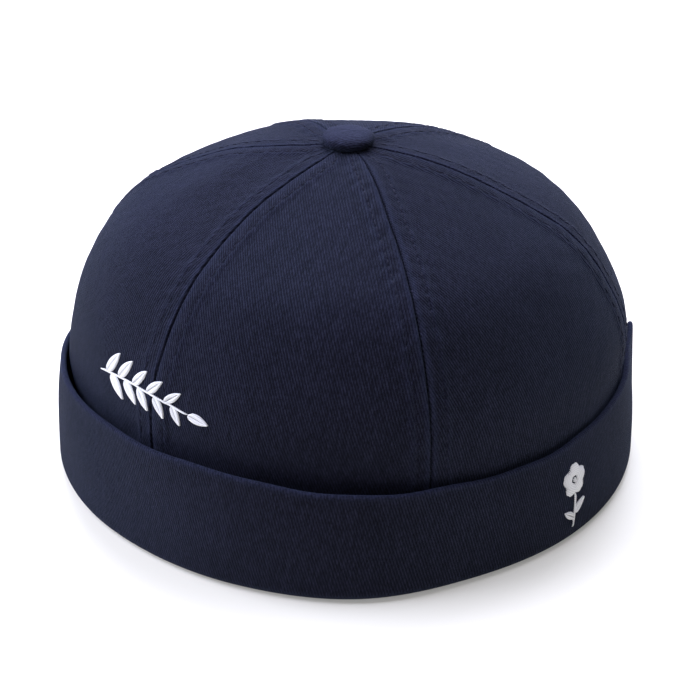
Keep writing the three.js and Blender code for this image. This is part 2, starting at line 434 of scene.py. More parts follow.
class NodeBench:
    """Places nodes in one node tree and joins them."""

    mix_share = 0  # number of a Mix node's input for the share
    mix_first = 6  # number of its input for the first colour
    mix_second = 7  # number of its input for the second colour
    mix_result = 2  # number of its output for the mixed colour

    def __init__(self, tree: bpy.types.NodeTree) -> None:
        """Starts on a tree.

        Args:
            tree: the tree to work in.
        """
        self.tree = tree

    def add(self, kind: str, **settings: object) -> bpy.types.Node:
        """Places a node.

        Args:
            kind: Blender's name for the node.
            settings: properties to set on it.

        Returns:
            The node.
        """
        node = self.tree.nodes.new(kind)
        for name, value in settings.items():
            setattr(node, name, value)
        return node

    def feed(self, socket: Socket, source: object) -> None:
        """Joins a socket to another, or sets its value.

        Args:
            socket: the input.
            source: an output socket, or a plain value.
        """
        if isinstance(source, bpy.types.NodeSocket):
            self.tree.links.new(source, socket)
        else:
            socket.default_value = source

    def fill(self, node: bpy.types.Node, sources: dict[str, object]) -> None:
        """Feeds several inputs of a node.

        Args:
            node: the node.
            sources: a socket or value for each input, under the input's name.
        """
        for name, source in sources.items():
            self.feed(node.inputs[name], source)

    def math(self, operation: str, *values: object, clamp: bool = False) -> Socket:
        """Places a Math node.

        Args:
            operation: Blender's name for the sum.
            values: a socket or a number for each input.
            clamp: whether the result is held between 0 and 1.

        Returns:
            The result's socket.
        """
        node = self.add("ShaderNodeMath", operation=operation, use_clamp=clamp)
        for socket, value in zip(node.inputs, values):
            self.feed(socket, value)
        return node.outputs[0]

    def spread(self, value: Socket, start: float, end: float, low: float, high: float) -> Socket:
        """Maps a value smoothly from one range to another.

        Args:
            value: the socket to read.
            start: value that gives low.
            end: value that gives high.
            low: result at start.
            high: result at end.

        Returns:
            The result's socket.
        """
        node = self.add("ShaderNodeMapRange", interpolation_type="SMOOTHSTEP")
        self.fill(node, {"Value": value, "From Min": start, "From Max": end, "To Min": low, "To Max": high})
        return node.outputs["Result"]

    def blend(self, share: object, first: object, second: object, kind: str = "MIX") -> Socket:
        """Mixes two colours.

        Args:
            share: how much of the second shows.
            first: first colour.
            second: second colour.
            kind: Blender's name for the way to mix.

        Returns:
            The mixed colour's socket.
        """
        node = self.add("ShaderNodeMix", data_type="RGBA", blend_type=kind)
        self.feed(node.inputs[self.mix_share], share)
        self.feed(node.inputs[self.mix_first], first)
        self.feed(node.inputs[self.mix_second], second)
        return node.outputs[self.mix_result]

    def tone(self, colour: object, brightness: Socket) -> Socket:
        """Multiplies a colour by a brightness.

        Args:
            colour: the colour.
            brightness: factor for all three channels.

        Returns:
            The toned colour's socket.
        """
        grey = self.add("ShaderNodeCombineColor")
        for channel in grey.inputs:
            self.feed(channel, brightness)
        return self.blend(1.0, colour, grey.outputs[0], "MULTIPLY")

    def noise(self, place: Socket, scale: float, detail: float = 2.0) -> Socket:
        """Places a noise texture.

        Args:
            place: coordinates in metres.
            scale: features in a metre.
            detail: octaves added.

        Returns:
            The noise's value socket.
        """
        node = self.add("ShaderNodeTexNoise")
        self.fill(node, {"Vector": place, "Scale": scale, "Detail": detail})
        return node.outputs["Fac"]

    def centred(self, value: Socket) -> Socket:
        """Moves a value between 0 and 1 so that it lies round 0."""
        return self.math("SUBTRACT", value, 0.5)

    def rounded(self, place: Socket) -> Socket:
        """Round top of one yarn or ply after another.

        Args:
            place: distance across them, counted in yarns or plies.

        Returns:
            Socket that is 1 on the middle of each and 0 between two.
        """
        across = self.math("SUBTRACT", self.math("MULTIPLY", self.math("FRACT", place), 2.0), 1.0)
        return self.math("SUBTRACT", 1.0, self.math("MULTIPLY", across, across))

    def bump(self, height: Socket, strength: float, depth: float) -> Socket:
        """Places a Bump node.

        Args:
            height: socket of the height.
            strength: how strongly it bends the light.
            depth: real height that a height of 1 stands for.

        Returns:
            Socket of the bent normal.
        """
        node = self.add("ShaderNodeBump")
        self.fill(node, {"Strength": strength, "Distance": depth, "Height": height})
        return node.outputs["Normal"]


class SharedEffect:
    """A shader node group that several finishes use, built once."""

    name = "effect"
    inputs: tuple[tuple[str, str], ...] = ()
    outputs: tuple[tuple[str, str], ...] = ()

    def group(self) -> bpy.types.NodeTree:
        """The group, built the first time it is asked for."""
        found = bpy.data.node_groups.get(self.name)
        if found is not None:
            return found
        tree = bpy.data.node_groups.new(self.name, "ShaderNodeTree")
        for label, kind in self.inputs:
            tree.interface.new_socket(name=label, in_out="INPUT", socket_type=kind)
        for label, kind in self.outputs:
            tree.interface.new_socket(name=label, in_out="OUTPUT", socket_type=kind)
        bench = NodeBench(tree)
        entry = bench.add("NodeGroupInput")
        leave = bench.add("NodeGroupOutput")
        self.wire(bench, entry, leave)
        return tree

    def wire(self, bench: NodeBench, entry: bpy.types.Node, leave: bpy.types.Node) -> None:
        """Fills the group.

        Args:
            bench: bench on the group's tree.
            entry: the group's input node.
            leave: the group's output node.
        """
        raise NotImplementedError

    def place(self, bench: NodeBench, **sources: object) -> bpy.types.Node:
        """Places the group in a material.

        Args:
            bench: bench on the material's tree.
            sources: a socket or value for each input, with _ for spaces in its name.

        Returns:
            The group node.
        """
        node = bench.add("ShaderNodeGroup", node_tree=self.group())
        for label, source in sources.items():
            bench.feed(node.inputs[label.replace("_", " ")], source)
        return node


class TwillWeave(SharedEffect):
    """Three-over-one twill: long warp floats whose ends line up as a steep diagonal."""

    name = "twill_weave"
    inputs = (
        ("Cloth place", "NodeSocketVector"),
        ("Yarn pitch", "NodeSocketFloat"),
        ("Pick pitch", "NodeSocketFloat"),
        ("Grain turn", "NodeSocketFloat"),
    )
    outputs = (
        ("Height", "NodeSocketFloat"),
        ("Line", "NodeSocketFloat"),
        ("Yarn", "NodeSocketFloat"),
        ("Float", "NodeSocketFloat"),
    )
    repeat = 4.0
    wander_scale = 420.0
    wander = 0.20 * MM
    over_start = 0.50
    over_end = 0.80
    float_flat = 0.5
    weft_height = 0.3

    def wire(self, bench: NodeBench, entry: bpy.types.Node, leave: bpy.types.Node) -> None:
        """Fills the group with yarns, floats and the dips between them.

        Args:
            bench: bench on the group's tree.
            entry: the group's input node.
            leave: the group's output node.
        """
        place = entry.outputs["Cloth place"]
        turned = bench.add("ShaderNodeVectorRotate", rotation_type="Z_AXIS")
        bench.feed(turned.inputs["Vector"], place)
        bench.feed(turned.inputs["Angle"], entry.outputs["Grain turn"])
        parts = bench.add("ShaderNodeSeparateXYZ")
        bench.feed(parts.inputs[0], turned.outputs[0])
        noise = bench.centred(bench.noise(place, self.wander_scale))
        warp_way = bench.math("MULTIPLY_ADD", noise, self.wander, parts.outputs["Y"])
        weft_way = bench.math("MULTIPLY_ADD", noise, self.wander / 2.0, parts.outputs["X"])
        yarn_place = bench.math("DIVIDE", weft_way, entry.outputs["Yarn pitch"])
        yarn = bench.math("FLOOR", yarn_place)
        pick_place = bench.math("DIVIDE", warp_way, entry.outputs["Pick pitch"])
        ridge = bench.rounded(yarn_place)
        weft = bench.rounded(pick_place)
        float_place = bench.math("DIVIDE", bench.math("ADD", pick_place, yarn), self.repeat)
        off_middle = bench.centred(bench.math("FRACT", float_place))
        from_middle = bench.math("MULTIPLY", bench.math("ABSOLUTE", off_middle), 2.0)
        over = bench.spread(from_middle, self.over_start, self.over_end, 1.0, 0.0)
        warp_height = bench.math("MULTIPLY_ADD", ridge, 1.0 - self.float_flat, self.float_flat)
        float_height = bench.math("MULTIPLY", over, warp_height)
        under = bench.math("SUBTRACT", 1.0, over)
        under_height = bench.math("MULTIPLY", under, bench.math("MULTIPLY", weft, self.weft_height))
        yarn_dice = bench.add("ShaderNodeTexWhiteNoise", noise_dimensions="1D")
        bench.feed(yarn_dice.inputs["W"], yarn)
        numbers = bench.add("ShaderNodeCombineXYZ")
        bench.feed(numbers.inputs["X"], yarn)
        bench.feed(numbers.inputs["Y"], bench.math("FLOOR", float_place))
        float_dice = bench.add("ShaderNodeTexWhiteNoise", noise_dimensions="2D")
        bench.feed(float_dice.inputs["Vector"], numbers.outputs[0])
        bench.fill(leave, {
            "Height": bench.math("ADD", float_height, under_height),
            "Line": over,
            "Yarn": yarn_dice.outputs["Value"],
            "Float": float_dice.outputs["Value"],
        })


class ClothAgeingAndHighlight(SharedEffect):
    """Uneven dye, paler edges from wearing and from painted highlight, and a little lint."""

    name = "cloth_ageing_and_highlight"
    inputs = (
        ("Colour", "NodeSocketColor"),
        # the next two carry paler edges: part wearing, part painted highlight
        ("Worn colour", "NodeSocketColor"),
        ("Wear", "NodeSocketFloat"),
        ("Place", "NodeSocketVector"),
        ("Mottle", "NodeSocketFloat"),
        ("Grain", "NodeSocketFloat"),
        ("Lint", "NodeSocketFloat"),
    )
    outputs = (("Colour", "NodeSocketColor"), ("Roughness", "NodeSocketFloat"))
    patch_scale = 38.0
    patch_detail = 3.0
    grain_scale = 1300.0
    least_brightness = 0.2
    # how the fibres break up the paler edges of wearing and painted highlight
    rub_and_highlight_start = 0.3
    rub_and_highlight_end = 0.7
    rub_and_highlight_least = 0.35
    lint_scale = 240.0
    lint_near = 0.02
    lint_far = 0.055
    lint_chance = 0.965
    lint_colour = (0.20, 0.22, 0.28, 1.0)
    rough_start = 0.25
    rough_end = 0.75
    smooth_roughness = 0.78
    rough_roughness = 0.97

    def wire(self, bench: NodeBench, entry: bpy.types.Node, leave: bpy.types.Node) -> None:
        """Fills the group with patches, paler edges from wearing and painted highlight, and specks.

        Args:
            bench: bench on the group's tree.
            entry: the group's input node.
            leave: the group's output node.
        """
        place = entry.outputs["Place"]
        patches = bench.centred(bench.noise(place, self.patch_scale, self.patch_detail))
        grain = bench.noise(place, self.grain_scale)
        fibres = bench.centred(grain)
        uneven = bench.math("MULTIPLY_ADD", patches, entry.outputs["Mottle"], 1.0)
        grained = bench.math("MULTIPLY_ADD", fibres, entry.outputs["Grain"], uneven)
        brightness = bench.math("MAXIMUM", grained, self.least_brightness)
        dyed = bench.tone(entry.outputs["Colour"], brightness)
        # paler edges: part wearing, part painted highlight, broken up by the fibres
        spared = bench.spread(grain, self.rub_and_highlight_start, self.rub_and_highlight_end, self.rub_and_highlight_least, 1.0)
        rubbed_and_lit = bench.math("MULTIPLY", entry.outputs["Wear"], spared, clamp=True)
        worn_and_lit = bench.blend(rubbed_and_lit, dyed, entry.outputs["Worn colour"])
        cells = bench.add("ShaderNodeTexVoronoi", feature="F1")
        bench.fill(cells, {"Vector": place, "Scale": self.lint_scale})
        near = bench.spread(cells.outputs["Distance"], self.lint_near, self.lint_far, 1.0, 0.0)
        chance = bench.add("ShaderNodeSeparateColor")
        bench.feed(chance.inputs[0], cells.outputs["Color"])
        chosen = bench.math("GREATER_THAN", chance.outputs[0], self.lint_chance)
        speck = bench.math("MULTIPLY", bench.math("MULTIPLY", near, chosen), entry.outputs["Lint"])
        bench.feed(leave.inputs["Colour"], bench.blend(speck, worn_and_lit, self.lint_colour))
        roughness = bench.spread(
            grain, self.rough_start, self.rough_end, self.smooth_roughness, self.rough_roughness
        )
        bench.feed(leave.inputs["Roughness"], roughness)


class ThreadTwist(SharedEffect):
    """Slanting plies of a twisted thread."""

    name = "thread_twist"
    inputs = (("Thread place", "NodeSocketVector"), ("Ply pitch", "NodeSocketFloat"))
    outputs = (("Height", "NodeSocketFloat"),)
    plies = 2.0

    def wire(self, bench: NodeBench, entry: bpy.types.Node, leave: bpy.types.Node) -> None:
        """Fills the group with plies that wind round the thread.

        Args:
            bench: bench on the group's tree.
            entry: the group's input node.
            leave: the group's output node.
        """
        parts = bench.add("ShaderNodeSeparateXYZ")
        bench.feed(parts.inputs[0], entry.outputs["Thread place"])
        length_way = bench.math("DIVIDE", parts.outputs["Y"], entry.outputs["Ply pitch"])
        wound = bench.math("ADD", bench.math("MULTIPLY", parts.outputs["X"], self.plies), length_way)
        bench.feed(leave.inputs["Height"], bench.rounded(wound))


class Finish(Protocol):
    """What every finish offers: its slot and its material."""

    slot: Slot

    def material(self) -> bpy.types.Material:
        """The finish's material, built the first time it is asked for."""


def new_material(name: str) -> tuple[bpy.types.Material, NodeBench, bpy.types.Node]:
    """Starts a material with an empty Principled shader.

    Args:
        name: name of the material.

    Returns:
        The material, a bench on its nodes, and the shader.
    """
    material = bpy.data.materials.new(name)
    material.use_nodes = True
    material.node_tree.nodes.clear()
    bench = NodeBench(material.node_tree)
    shader = bench.add("ShaderNodeBsdfPrincipled")
    output = bench.add("ShaderNodeOutputMaterial")
    bench.feed(output.inputs["Surface"], shader.outputs["BSDF"])
    return material, bench, shader


@dataclass(frozen=True)
class TwillFinish:
    """Cotton twill."""

    name: str  # name of the material
    slot: Slot  # slot of the record
    colour: Colour = (0.0144, 0.0149, 0.0268, 1.0)  # colour of the warp floats
    dip_shade_colour: Colour = (0.0047, 0.0050, 0.0096, 1.0)  # painted shade: darker colour in the dips between the diagonals
    wear_and_highlight_colour: Colour = (0.030, 0.036, 0.074, 1.0)  # colour of paler edges and tops: part wearing, part painted highlight where they catch the light
    sheen_tint: Colour = (0.50, 0.68, 1.00, 1.0)  # colour of the nap where it is seen edge on
    yarn_pitch: float = 0.243 * MM  # distance between warp yarns
    pick_pitch: float = 0.463 * MM  # distance between weft picks
    grain_degrees: float = 0.0  # turn of the grain on the piece
    relief: float = 0.34 * MM  # depth of the weave
    relief_strength: float = 1.0  # how strongly the weave bends the light
    yarn_contrast: float = 0.08  # how much one yarn differs from the next
    float_contrast: float = 0.30  # how much one float of a yarn differs from the next
    mottle: float = 0.55  # unevenness of the dye
    grain: float = 1.9  # unevenness of the fibres
    lint: float = 0.30  # how much a speck of lint shows
    sheen: float = 0.085  # strength of the nap
    sheen_roughness: float = 0.33  # spread of the nap
    gloss: float = 0.03  # strength of the plain reflection

    def material(self) -> bpy.types.Material:
        """The twill's material, built the first time it is asked for."""
        found = bpy.data.materials.get(self.name)
        if found is not None:
            return found
        material, bench, shader = new_material(self.name)
        cloth = bench.add("ShaderNodeUVMap", uv_map=CLOTH_MAP)
        weave = TwillWeave().place(
            bench,
            Cloth_place=cloth.outputs["UV"],
            Yarn_pitch=self.yarn_pitch,
            Pick_pitch=self.pick_pitch,
            Grain_turn=math.radians(self.grain_degrees),
        )
        # painted shade in the dips between the floats
        woven = bench.blend(weave.outputs["Line"], self.dip_shade_colour, self.colour)
        tones = [
            bench.spread(weave.outputs[label], 0.0, 1.0, 1.0 - contrast, 1.0 + contrast)
            for label, contrast in (("Yarn", self.yarn_contrast), ("Float", self.float_contrast))
        ]
        yarns = bench.tone(woven, bench.math("MULTIPLY", *tones))
        # paleness attribute: wearing, and painted highlight on raised seam edges, the cuff's rim and the
        # button's top
        wear_and_highlight = bench.add("ShaderNodeAttribute", attribute_name=WEAR_AND_HIGHLIGHT_NAME)
        place = bench.add("ShaderNodeTexCoord")
        aged_and_lit = ClothAgeingAndHighlight().place(
            bench,
            Colour=yarns,
            Worn_colour=self.wear_and_highlight_colour,
            Wear=wear_and_highlight.outputs["Fac"],
            Place=place.outputs["Object"],
            Mottle=self.mottle,
            Grain=self.grain,
            Lint=self.lint,
        )
        bench.fill(shader, {
            "Base Color": aged_and_lit.outputs["Colour"],
            "Roughness": aged_and_lit.outputs["Roughness"],
            "Normal": bench.bump(weave.outputs["Height"], self.relief_strength, self.relief),
            "Specular IOR Level": self.gloss,
            "Sheen Weight": self.sheen,
            "Sheen Roughness": self.sheen_roughness,
            "Sheen Tint": self.sheen_tint,
        })
        return material


@dataclass(frozen=True)
class ThreadFinish:
    """Twisted thread."""

    name: str  # name of the material
    slot: Slot  # slot of the record
    colour: Colour  # colour of the plies
    groove_shade_colour: Colour  # painted shade: darker colour in the grooves between the plies
    ply_pitch: float = 0.7 * MM  # length of one turn of the twist
    relief: float = 0.06 * MM  # depth of the grooves between the plies
    relief_strength: float = 0.7  # how strongly they bend the light
    gloss: float = 0.4  # strength of the plain reflection
    roughness_low: float = 0.45  # roughness of the plies
    roughness_high: float = 0.75  # roughness of the grooves
    sheen: float = 0.15  # strength of the fine hairs

    def material(self) -> bpy.types.Material:
        """The thread's material, built the first time it is asked for."""
        found = bpy.data.materials.get(self.name)
        if found is not None:
            return found
        material, bench, shader = new_material(self.name)
        thread = bench.add("ShaderNodeUVMap", uv_map=CLOTH_MAP)
        twist = ThreadTwist().place(bench, Thread_place=thread.outputs["UV"], Ply_pitch=self.ply_pitch)
        height = twist.outputs["Height"]
        bench.fill(shader, {
            # painted shade in the grooves between the plies
            "Base Color": bench.blend(height, self.groove_shade_colour, self.colour),
            "Roughness": bench.spread(height, 0.0, 1.0, self.roughness_high, self.roughness_low),
            "Normal": bench.bump(height, self.relief_strength, self.relief),
            "Specular IOR Level": self.gloss,
            "Sheen Weight": self.sheen,
        })
        return material


@dataclass(frozen=True)
class SeamRelief:
    """Cross-section of a pressed seam with its stitched-down allowance."""

    depth: float = 1.0 * MM  # how far the cloth turns down into the seam
    half_width: float = 0.7 * MM  # distance from the seam over which it turns
    allowance: float = 0.42 * MM  # how much the allowance underneath lifts the cloth
    allowance_start: float = 5.5 * MM  # distance from the seam where that lift starts to fall
    allowance_end: float = 7.2 * MM  # distance where it is gone
    ply: float = 0.6 * MM  # thickness of the allowance where it shows on the inside
    raw_start: float = 5.9 * MM  # distance from the seam where its raw edge starts to fall, on the inside
    raw_end: float = 6.6 * MM  # distance where it is gone
    row: float = 4.7 * MM  # distance of the stitch row from the seam
    pitch: float = 2.7 * MM  # length of one stitch
    row_depth: float = 0.13 * MM  # how far the row pulls the cloth down
    row_width: float = 0.5 * MM  # half width of the pulled-down line
    hole_depth: float = 0.14 * MM  # how much deeper the cloth is at a needle hole
    hole_sharpness: float = 5.0  # how short a needle hole is along the row
    pucker: float = 0.13 * MM  # height of the small puckers along the row
    pucker_length: float = 6.1 * MM  # distance from one pucker to the next
    pucker_reach: float = 4.0 * MM  # distance from the row at which the puckers fade
    pucker_start: float = 2.0 * MM  # distance from the seam at which they are full
    pucker_slant: float = 0.6  # how much they lean along the seam
    drift: float = 1.7  # how unevenly they follow each other, in radians
    drift_length: float = 37.0 * MM  # length of that unevenness
    drift_shift: float = 5.0  # how much it differs from row to row
    shoulder_wear_and_highlight: float = 0.38  # paleness of the turned-down edge: part wearing, part painted highlight
    shoulder_place: float = 1.1 * MM  # distance of that edge from the seam
    shoulder_width: float = 0.6 * MM  # half width of its wear
    step_wear_and_highlight: float = 0.12  # paleness where the lift of the allowance starts to fall: part wearing, part painted highlight
    step_width: float = 1.0 * MM  # half width of that paleness
    seam_shift: float = 0.37  # shift of the stitches from seam to seam, in stitches
    side_shift: float = 0.21  # shift of the stitches from the seam's middle to each side

    def phase(self, seam: int, side: Side) -> float:
        """Shift of a row's stitches, in stitches, so that no two rows keep step."""
        return (self.seam_shift * (seam % len(SEAM_ROWS)) + self.side_shift * side.value) % 1.0

    def lift(self, distance: Array) -> Array:
        """Lift of the cloth by the allowance alone.

        Args:
            distance: distance from the seam.

        Returns:
            Height above the smooth panel.
        """
        return self.allowance * (1.0 - smooth_step(distance, self.allowance_start, self.allowance_end))

    def height(self, distance: Array, along: Array, phase: Array) -> Array:
        """Height of the whole seam's cross-section.

        Args:
            distance: distance from the seam.
            along: distance along the seam.
            phase: shift of the stitches along the row, in stitches.

        Returns:
            Height above the smooth panel.
        """
        turn_down = 1.0 - smooth_step(distance, 0.0, self.half_width)
        on_row = bell(distance, self.row, self.row_width)
        hole = (0.5 + 0.5 * np.cos(TAU * (along / self.pitch + phase))) ** self.hole_sharpness
        slant = distance / self.pucker_length * self.pucker_slant
        drift = self.drift * np.sin(TAU * along / self.drift_length + self.drift_shift * phase)
        wave = np.sin(TAU * (along / self.pucker_length + slant) + drift)
        near_row = bell(distance, self.row, self.pucker_reach)
        near_row = near_row * smooth_step(distance, 0.0, self.pucker_start)
        pulled = on_row * (self.row_depth + self.hole_depth * hole)
        return self.lift(distance) - self.depth * turn_down**2 - pulled + self.pucker * wave * near_row

    def inside(self, distance: Array) -> Array:
        """How far the opened allowance stands in from the inside of the panel.

        Args:
            distance: distance from the seam.

        Returns:
            Distance inwards.
        """
        opened = 1.0 - smooth_step(distance, self.raw_start, self.raw_end)
        return self.ply * opened * smooth_step(distance, 0.0, self.half_width)

    def wear_and_highlight(self, distance: Array) -> Array:
        """Paleness across the seam, most on the two edges that stand out: part wearing, part painted
        highlight.

        Args:
            distance: distance from the seam.

        Returns:
            Paleness from 0 to 1.
        """
        shoulder = self.shoulder_wear_and_highlight * bell(distance, self.shoulder_place, self.shoulder_width)
        return shoulder + self.step_wear_and_highlight * bell(distance, self.allowance_start, self.step_width)


@dataclass
class CrownShape:
    """Outer surface of the domed crown, for all that is built on it."""

    axis: Vector  # foot of the cap's axis
    rows: tuple[CrownRow, ...] = CROWN_ROWS  # radius at each height
    seams: tuple[SeamRow, ...] = SEAM_ROWS  # angle of each seam
    relief: SeamRelief = field(default_factory=SeamRelief)  # cross-section of a seam
    ridge_low: float = 0.3 * MM  # how far the seams stand out inside the cuff
    ridge_high: float = 1.0 * MM  # how far they stand out above it
    ridge_start: float = 36.0 * MM  # height where they start to stand out more
    ridge_end: float = 60.0 * MM  # height where they stand out most
    ridge_sharpness: float = 1.5  # how quickly a panel sinks away from its seams
    # Heights at which the straying of the seams is given.
    stray_heights: tuple[float, ...] = (50.0 * MM, 82.0 * MM, 100.0 * MM, 108.2 * MM)
    stray_radius: float = 14.0 * MM  # distance from the axis inside which a seam keeps its angle
    full_rows: tuple[FullRow, ...] = FULL_ROWS  # places where the crown is fuller
    # Slow unevenness.
    waves: SoftWaves = SoftWaves(seed=11, size=0.26 * MM, turns=(3, 11), rows=(4.0, 16.0))
    # Small unevenness.
    crumple: SoftWaves = SoftWaves(seed=23, size=0.06 * MM, turns=(28, 64), rows=(50.0, 120.0), count=12)
    wave_start: float = 20.0 * MM  # height below which the cuff holds the cloth even
    wave_end: float = 50.0 * MM  # height above which the cloth is free
    wave_radius: float = 47.2 * MM  # distance from the axis inside which the unevenness fades
    outline_steps: int = 48  # points of the outline between one row and the next

    def __post_init__(self) -> None:
        """Traces the crown's outline once."""
        knots = np.array([(row.radius, row.height) for row in self.rows])
        self._outline = centripetal_curve(knots, self.outline_steps)
        steps = np.linalg.norm(np.diff(self._outline, axis=0), axis=1)
        self._along = np.concatenate([[0.0], np.cumsum(steps)])
        self.length = float(self._along[-1])
        self._slope = np.gradient(self._outline, self._along, axis=0)

    def outline(self, along: Array) -> tuple[Array, Array, Array, Array]:
        """Outline of the dome at distances from its lower edge.

        Args:
            along: distance along the outline.

        Returns:
            Radius, height, and how fast the two change along the outline.
        """
        radius, height = (np.interp(along, self._along, column) for column in self._outline.T)
        run, rise = (np.interp(along, self._along, column) for column in self._slope.T)
        return radius, height, run, rise

    def along_at(self, height: float) -> float:
        """Distance along the outline at which it reaches a height."""
        return float(np.interp(height, self._outline[:, 1], self._along))

    def seam_angle(self, number: int, along: Array) -> Array:
        """Angle of a seam where the sewn line strays a little on its way up.

        Args:
            number: number of the seam; the one after the last is the first again, a full turn on.
            along: distances along the outline.

        Returns:
            The angle at each distance.
        """
        turns, index = divmod(number, len(self.seams))
        row = self.seams[index]
        radius, height, _, _ = self.outline(along)
        strays = (row.cuff, row.shoulder, row.dome, row.top)
        stray = np.full(np.shape(along), row.cuff)
        for k in range(1, len(strays)):
            rise = smooth_step(height, self.stray_heights[k - 1], self.stray_heights[k])
            stray = stray + (strays[k] - strays[k - 1]) * rise
        return math.radians(row.degrees) + turns * TAU + stray / np.maximum(radius, self.stray_radius)

    def stand(self, across: Array, angle: Array, along: Array) -> Array:
        """How far the smooth panel stands out from the outline.

        Args:
            across: share of the way from one seam of the panel to the other.
            angle: angle round the cap.
            along: distance along the outline.

        Returns:
            Distance outwards.
        """
        radius, height, _, _ = self.outline(along)
        rise = smooth_step(height, self.ridge_start, self.ridge_end)
        ridge = self.ridge_low + (self.ridge_high - self.ridge_low) * rise
        ridge = ridge * np.minimum(1.0, radius / self.rows[0].radius)
        bow = 1.0 - np.sin(math.pi * np.clip(across, 0.0, 1.0)) ** self.ridge_sharpness
        free = smooth_step(height, self.wave_start, self.wave_end)
        free = free * np.minimum(1.0, radius / self.wave_radius)
        uneven = self.waves.height(angle, along) + self.crumple.height(angle, along)
        stand = ridge * bow + free * uneven
        for full in self.full_rows:
            sideways = np.mod(angle - math.radians(full.degrees) + math.pi, TAU) - math.pi
            beside = bell(sideways, 0.0, math.radians(full.spread))
            stand = stand + full.size * beside * bell(height, full.height, full.reach)
        return stand

    def point(self, angle: Array, along: Array, offset: Array) -> Array:
        """Points above the outline.

        Args:
            angle: angles round the cap.
            along: distances along the outline.
            offset: distances outwards, square to the outline.

        Returns:
            The points.
        """
        radius, height, run, rise = self.outline(along)
        return around(self.axis, angle, radius + offset * rise, height - offset * run)

    def outward(self, angle: Array, along: Array) -> Array:
        """Directions square to the outline.

        Args:
            angle: angles round the cap.
            along: distances along the outline.

        Returns:
            Unit vectors that point away from the cloth.
        """
        _, _, run, rise = self.outline(along)
        return around(Vector(), angle, rise, -run)

    def surface(self, angle: Array, along: Array) -> Array:
        """Height of the cloth at any angle, with its allowances but without grooves and stitch holes.

        Args:
            angle: angles round the cap.
            along: distances along the outline.

        Returns:
            Distance outwards from the outline.
        """
        edges = np.stack([self.seam_angle(k, along) for k in range(len(self.seams) + 1)], axis=-1)
        turned = edges[..., 0] + np.mod(angle - edges[..., 0], TAU)
        number = np.clip(np.sum(turned[..., None] >= edges, axis=-1) - 1, 0, len(self.seams) - 1)
        start = np.take_along_axis(edges, number[..., None], axis=-1)[..., 0]
        end = np.take_along_axis(edges, number[..., None] + 1, axis=-1)[..., 0]
        distance = self.outline(along)[0] * np.minimum(turned - start, end - turned)
        return self.stand((turned - start) / (end - start), angle, along) + self.relief.lift(distance)

    def lay(self, angle: float, height: float, flat: Array, lift: Array) -> tuple[Array, Array]:
        """Lays a flat design on the crown.

        Args:
            angle: angle of the design's middle.
            height: height of the design's middle.
            flat: points of the design, each as a distance to the right and a distance up.
            lift: heights of the points above the cloth.

        Returns:
            The points, and the outward direction at each.
        """
        along = self.along_at(height) + flat[..., 1]
        turned = angle + flat[..., 0] / self.outline(along)[0]
        return self.point(turned, along, self.surface(turned, along) + lift), self.outward(turned, along)


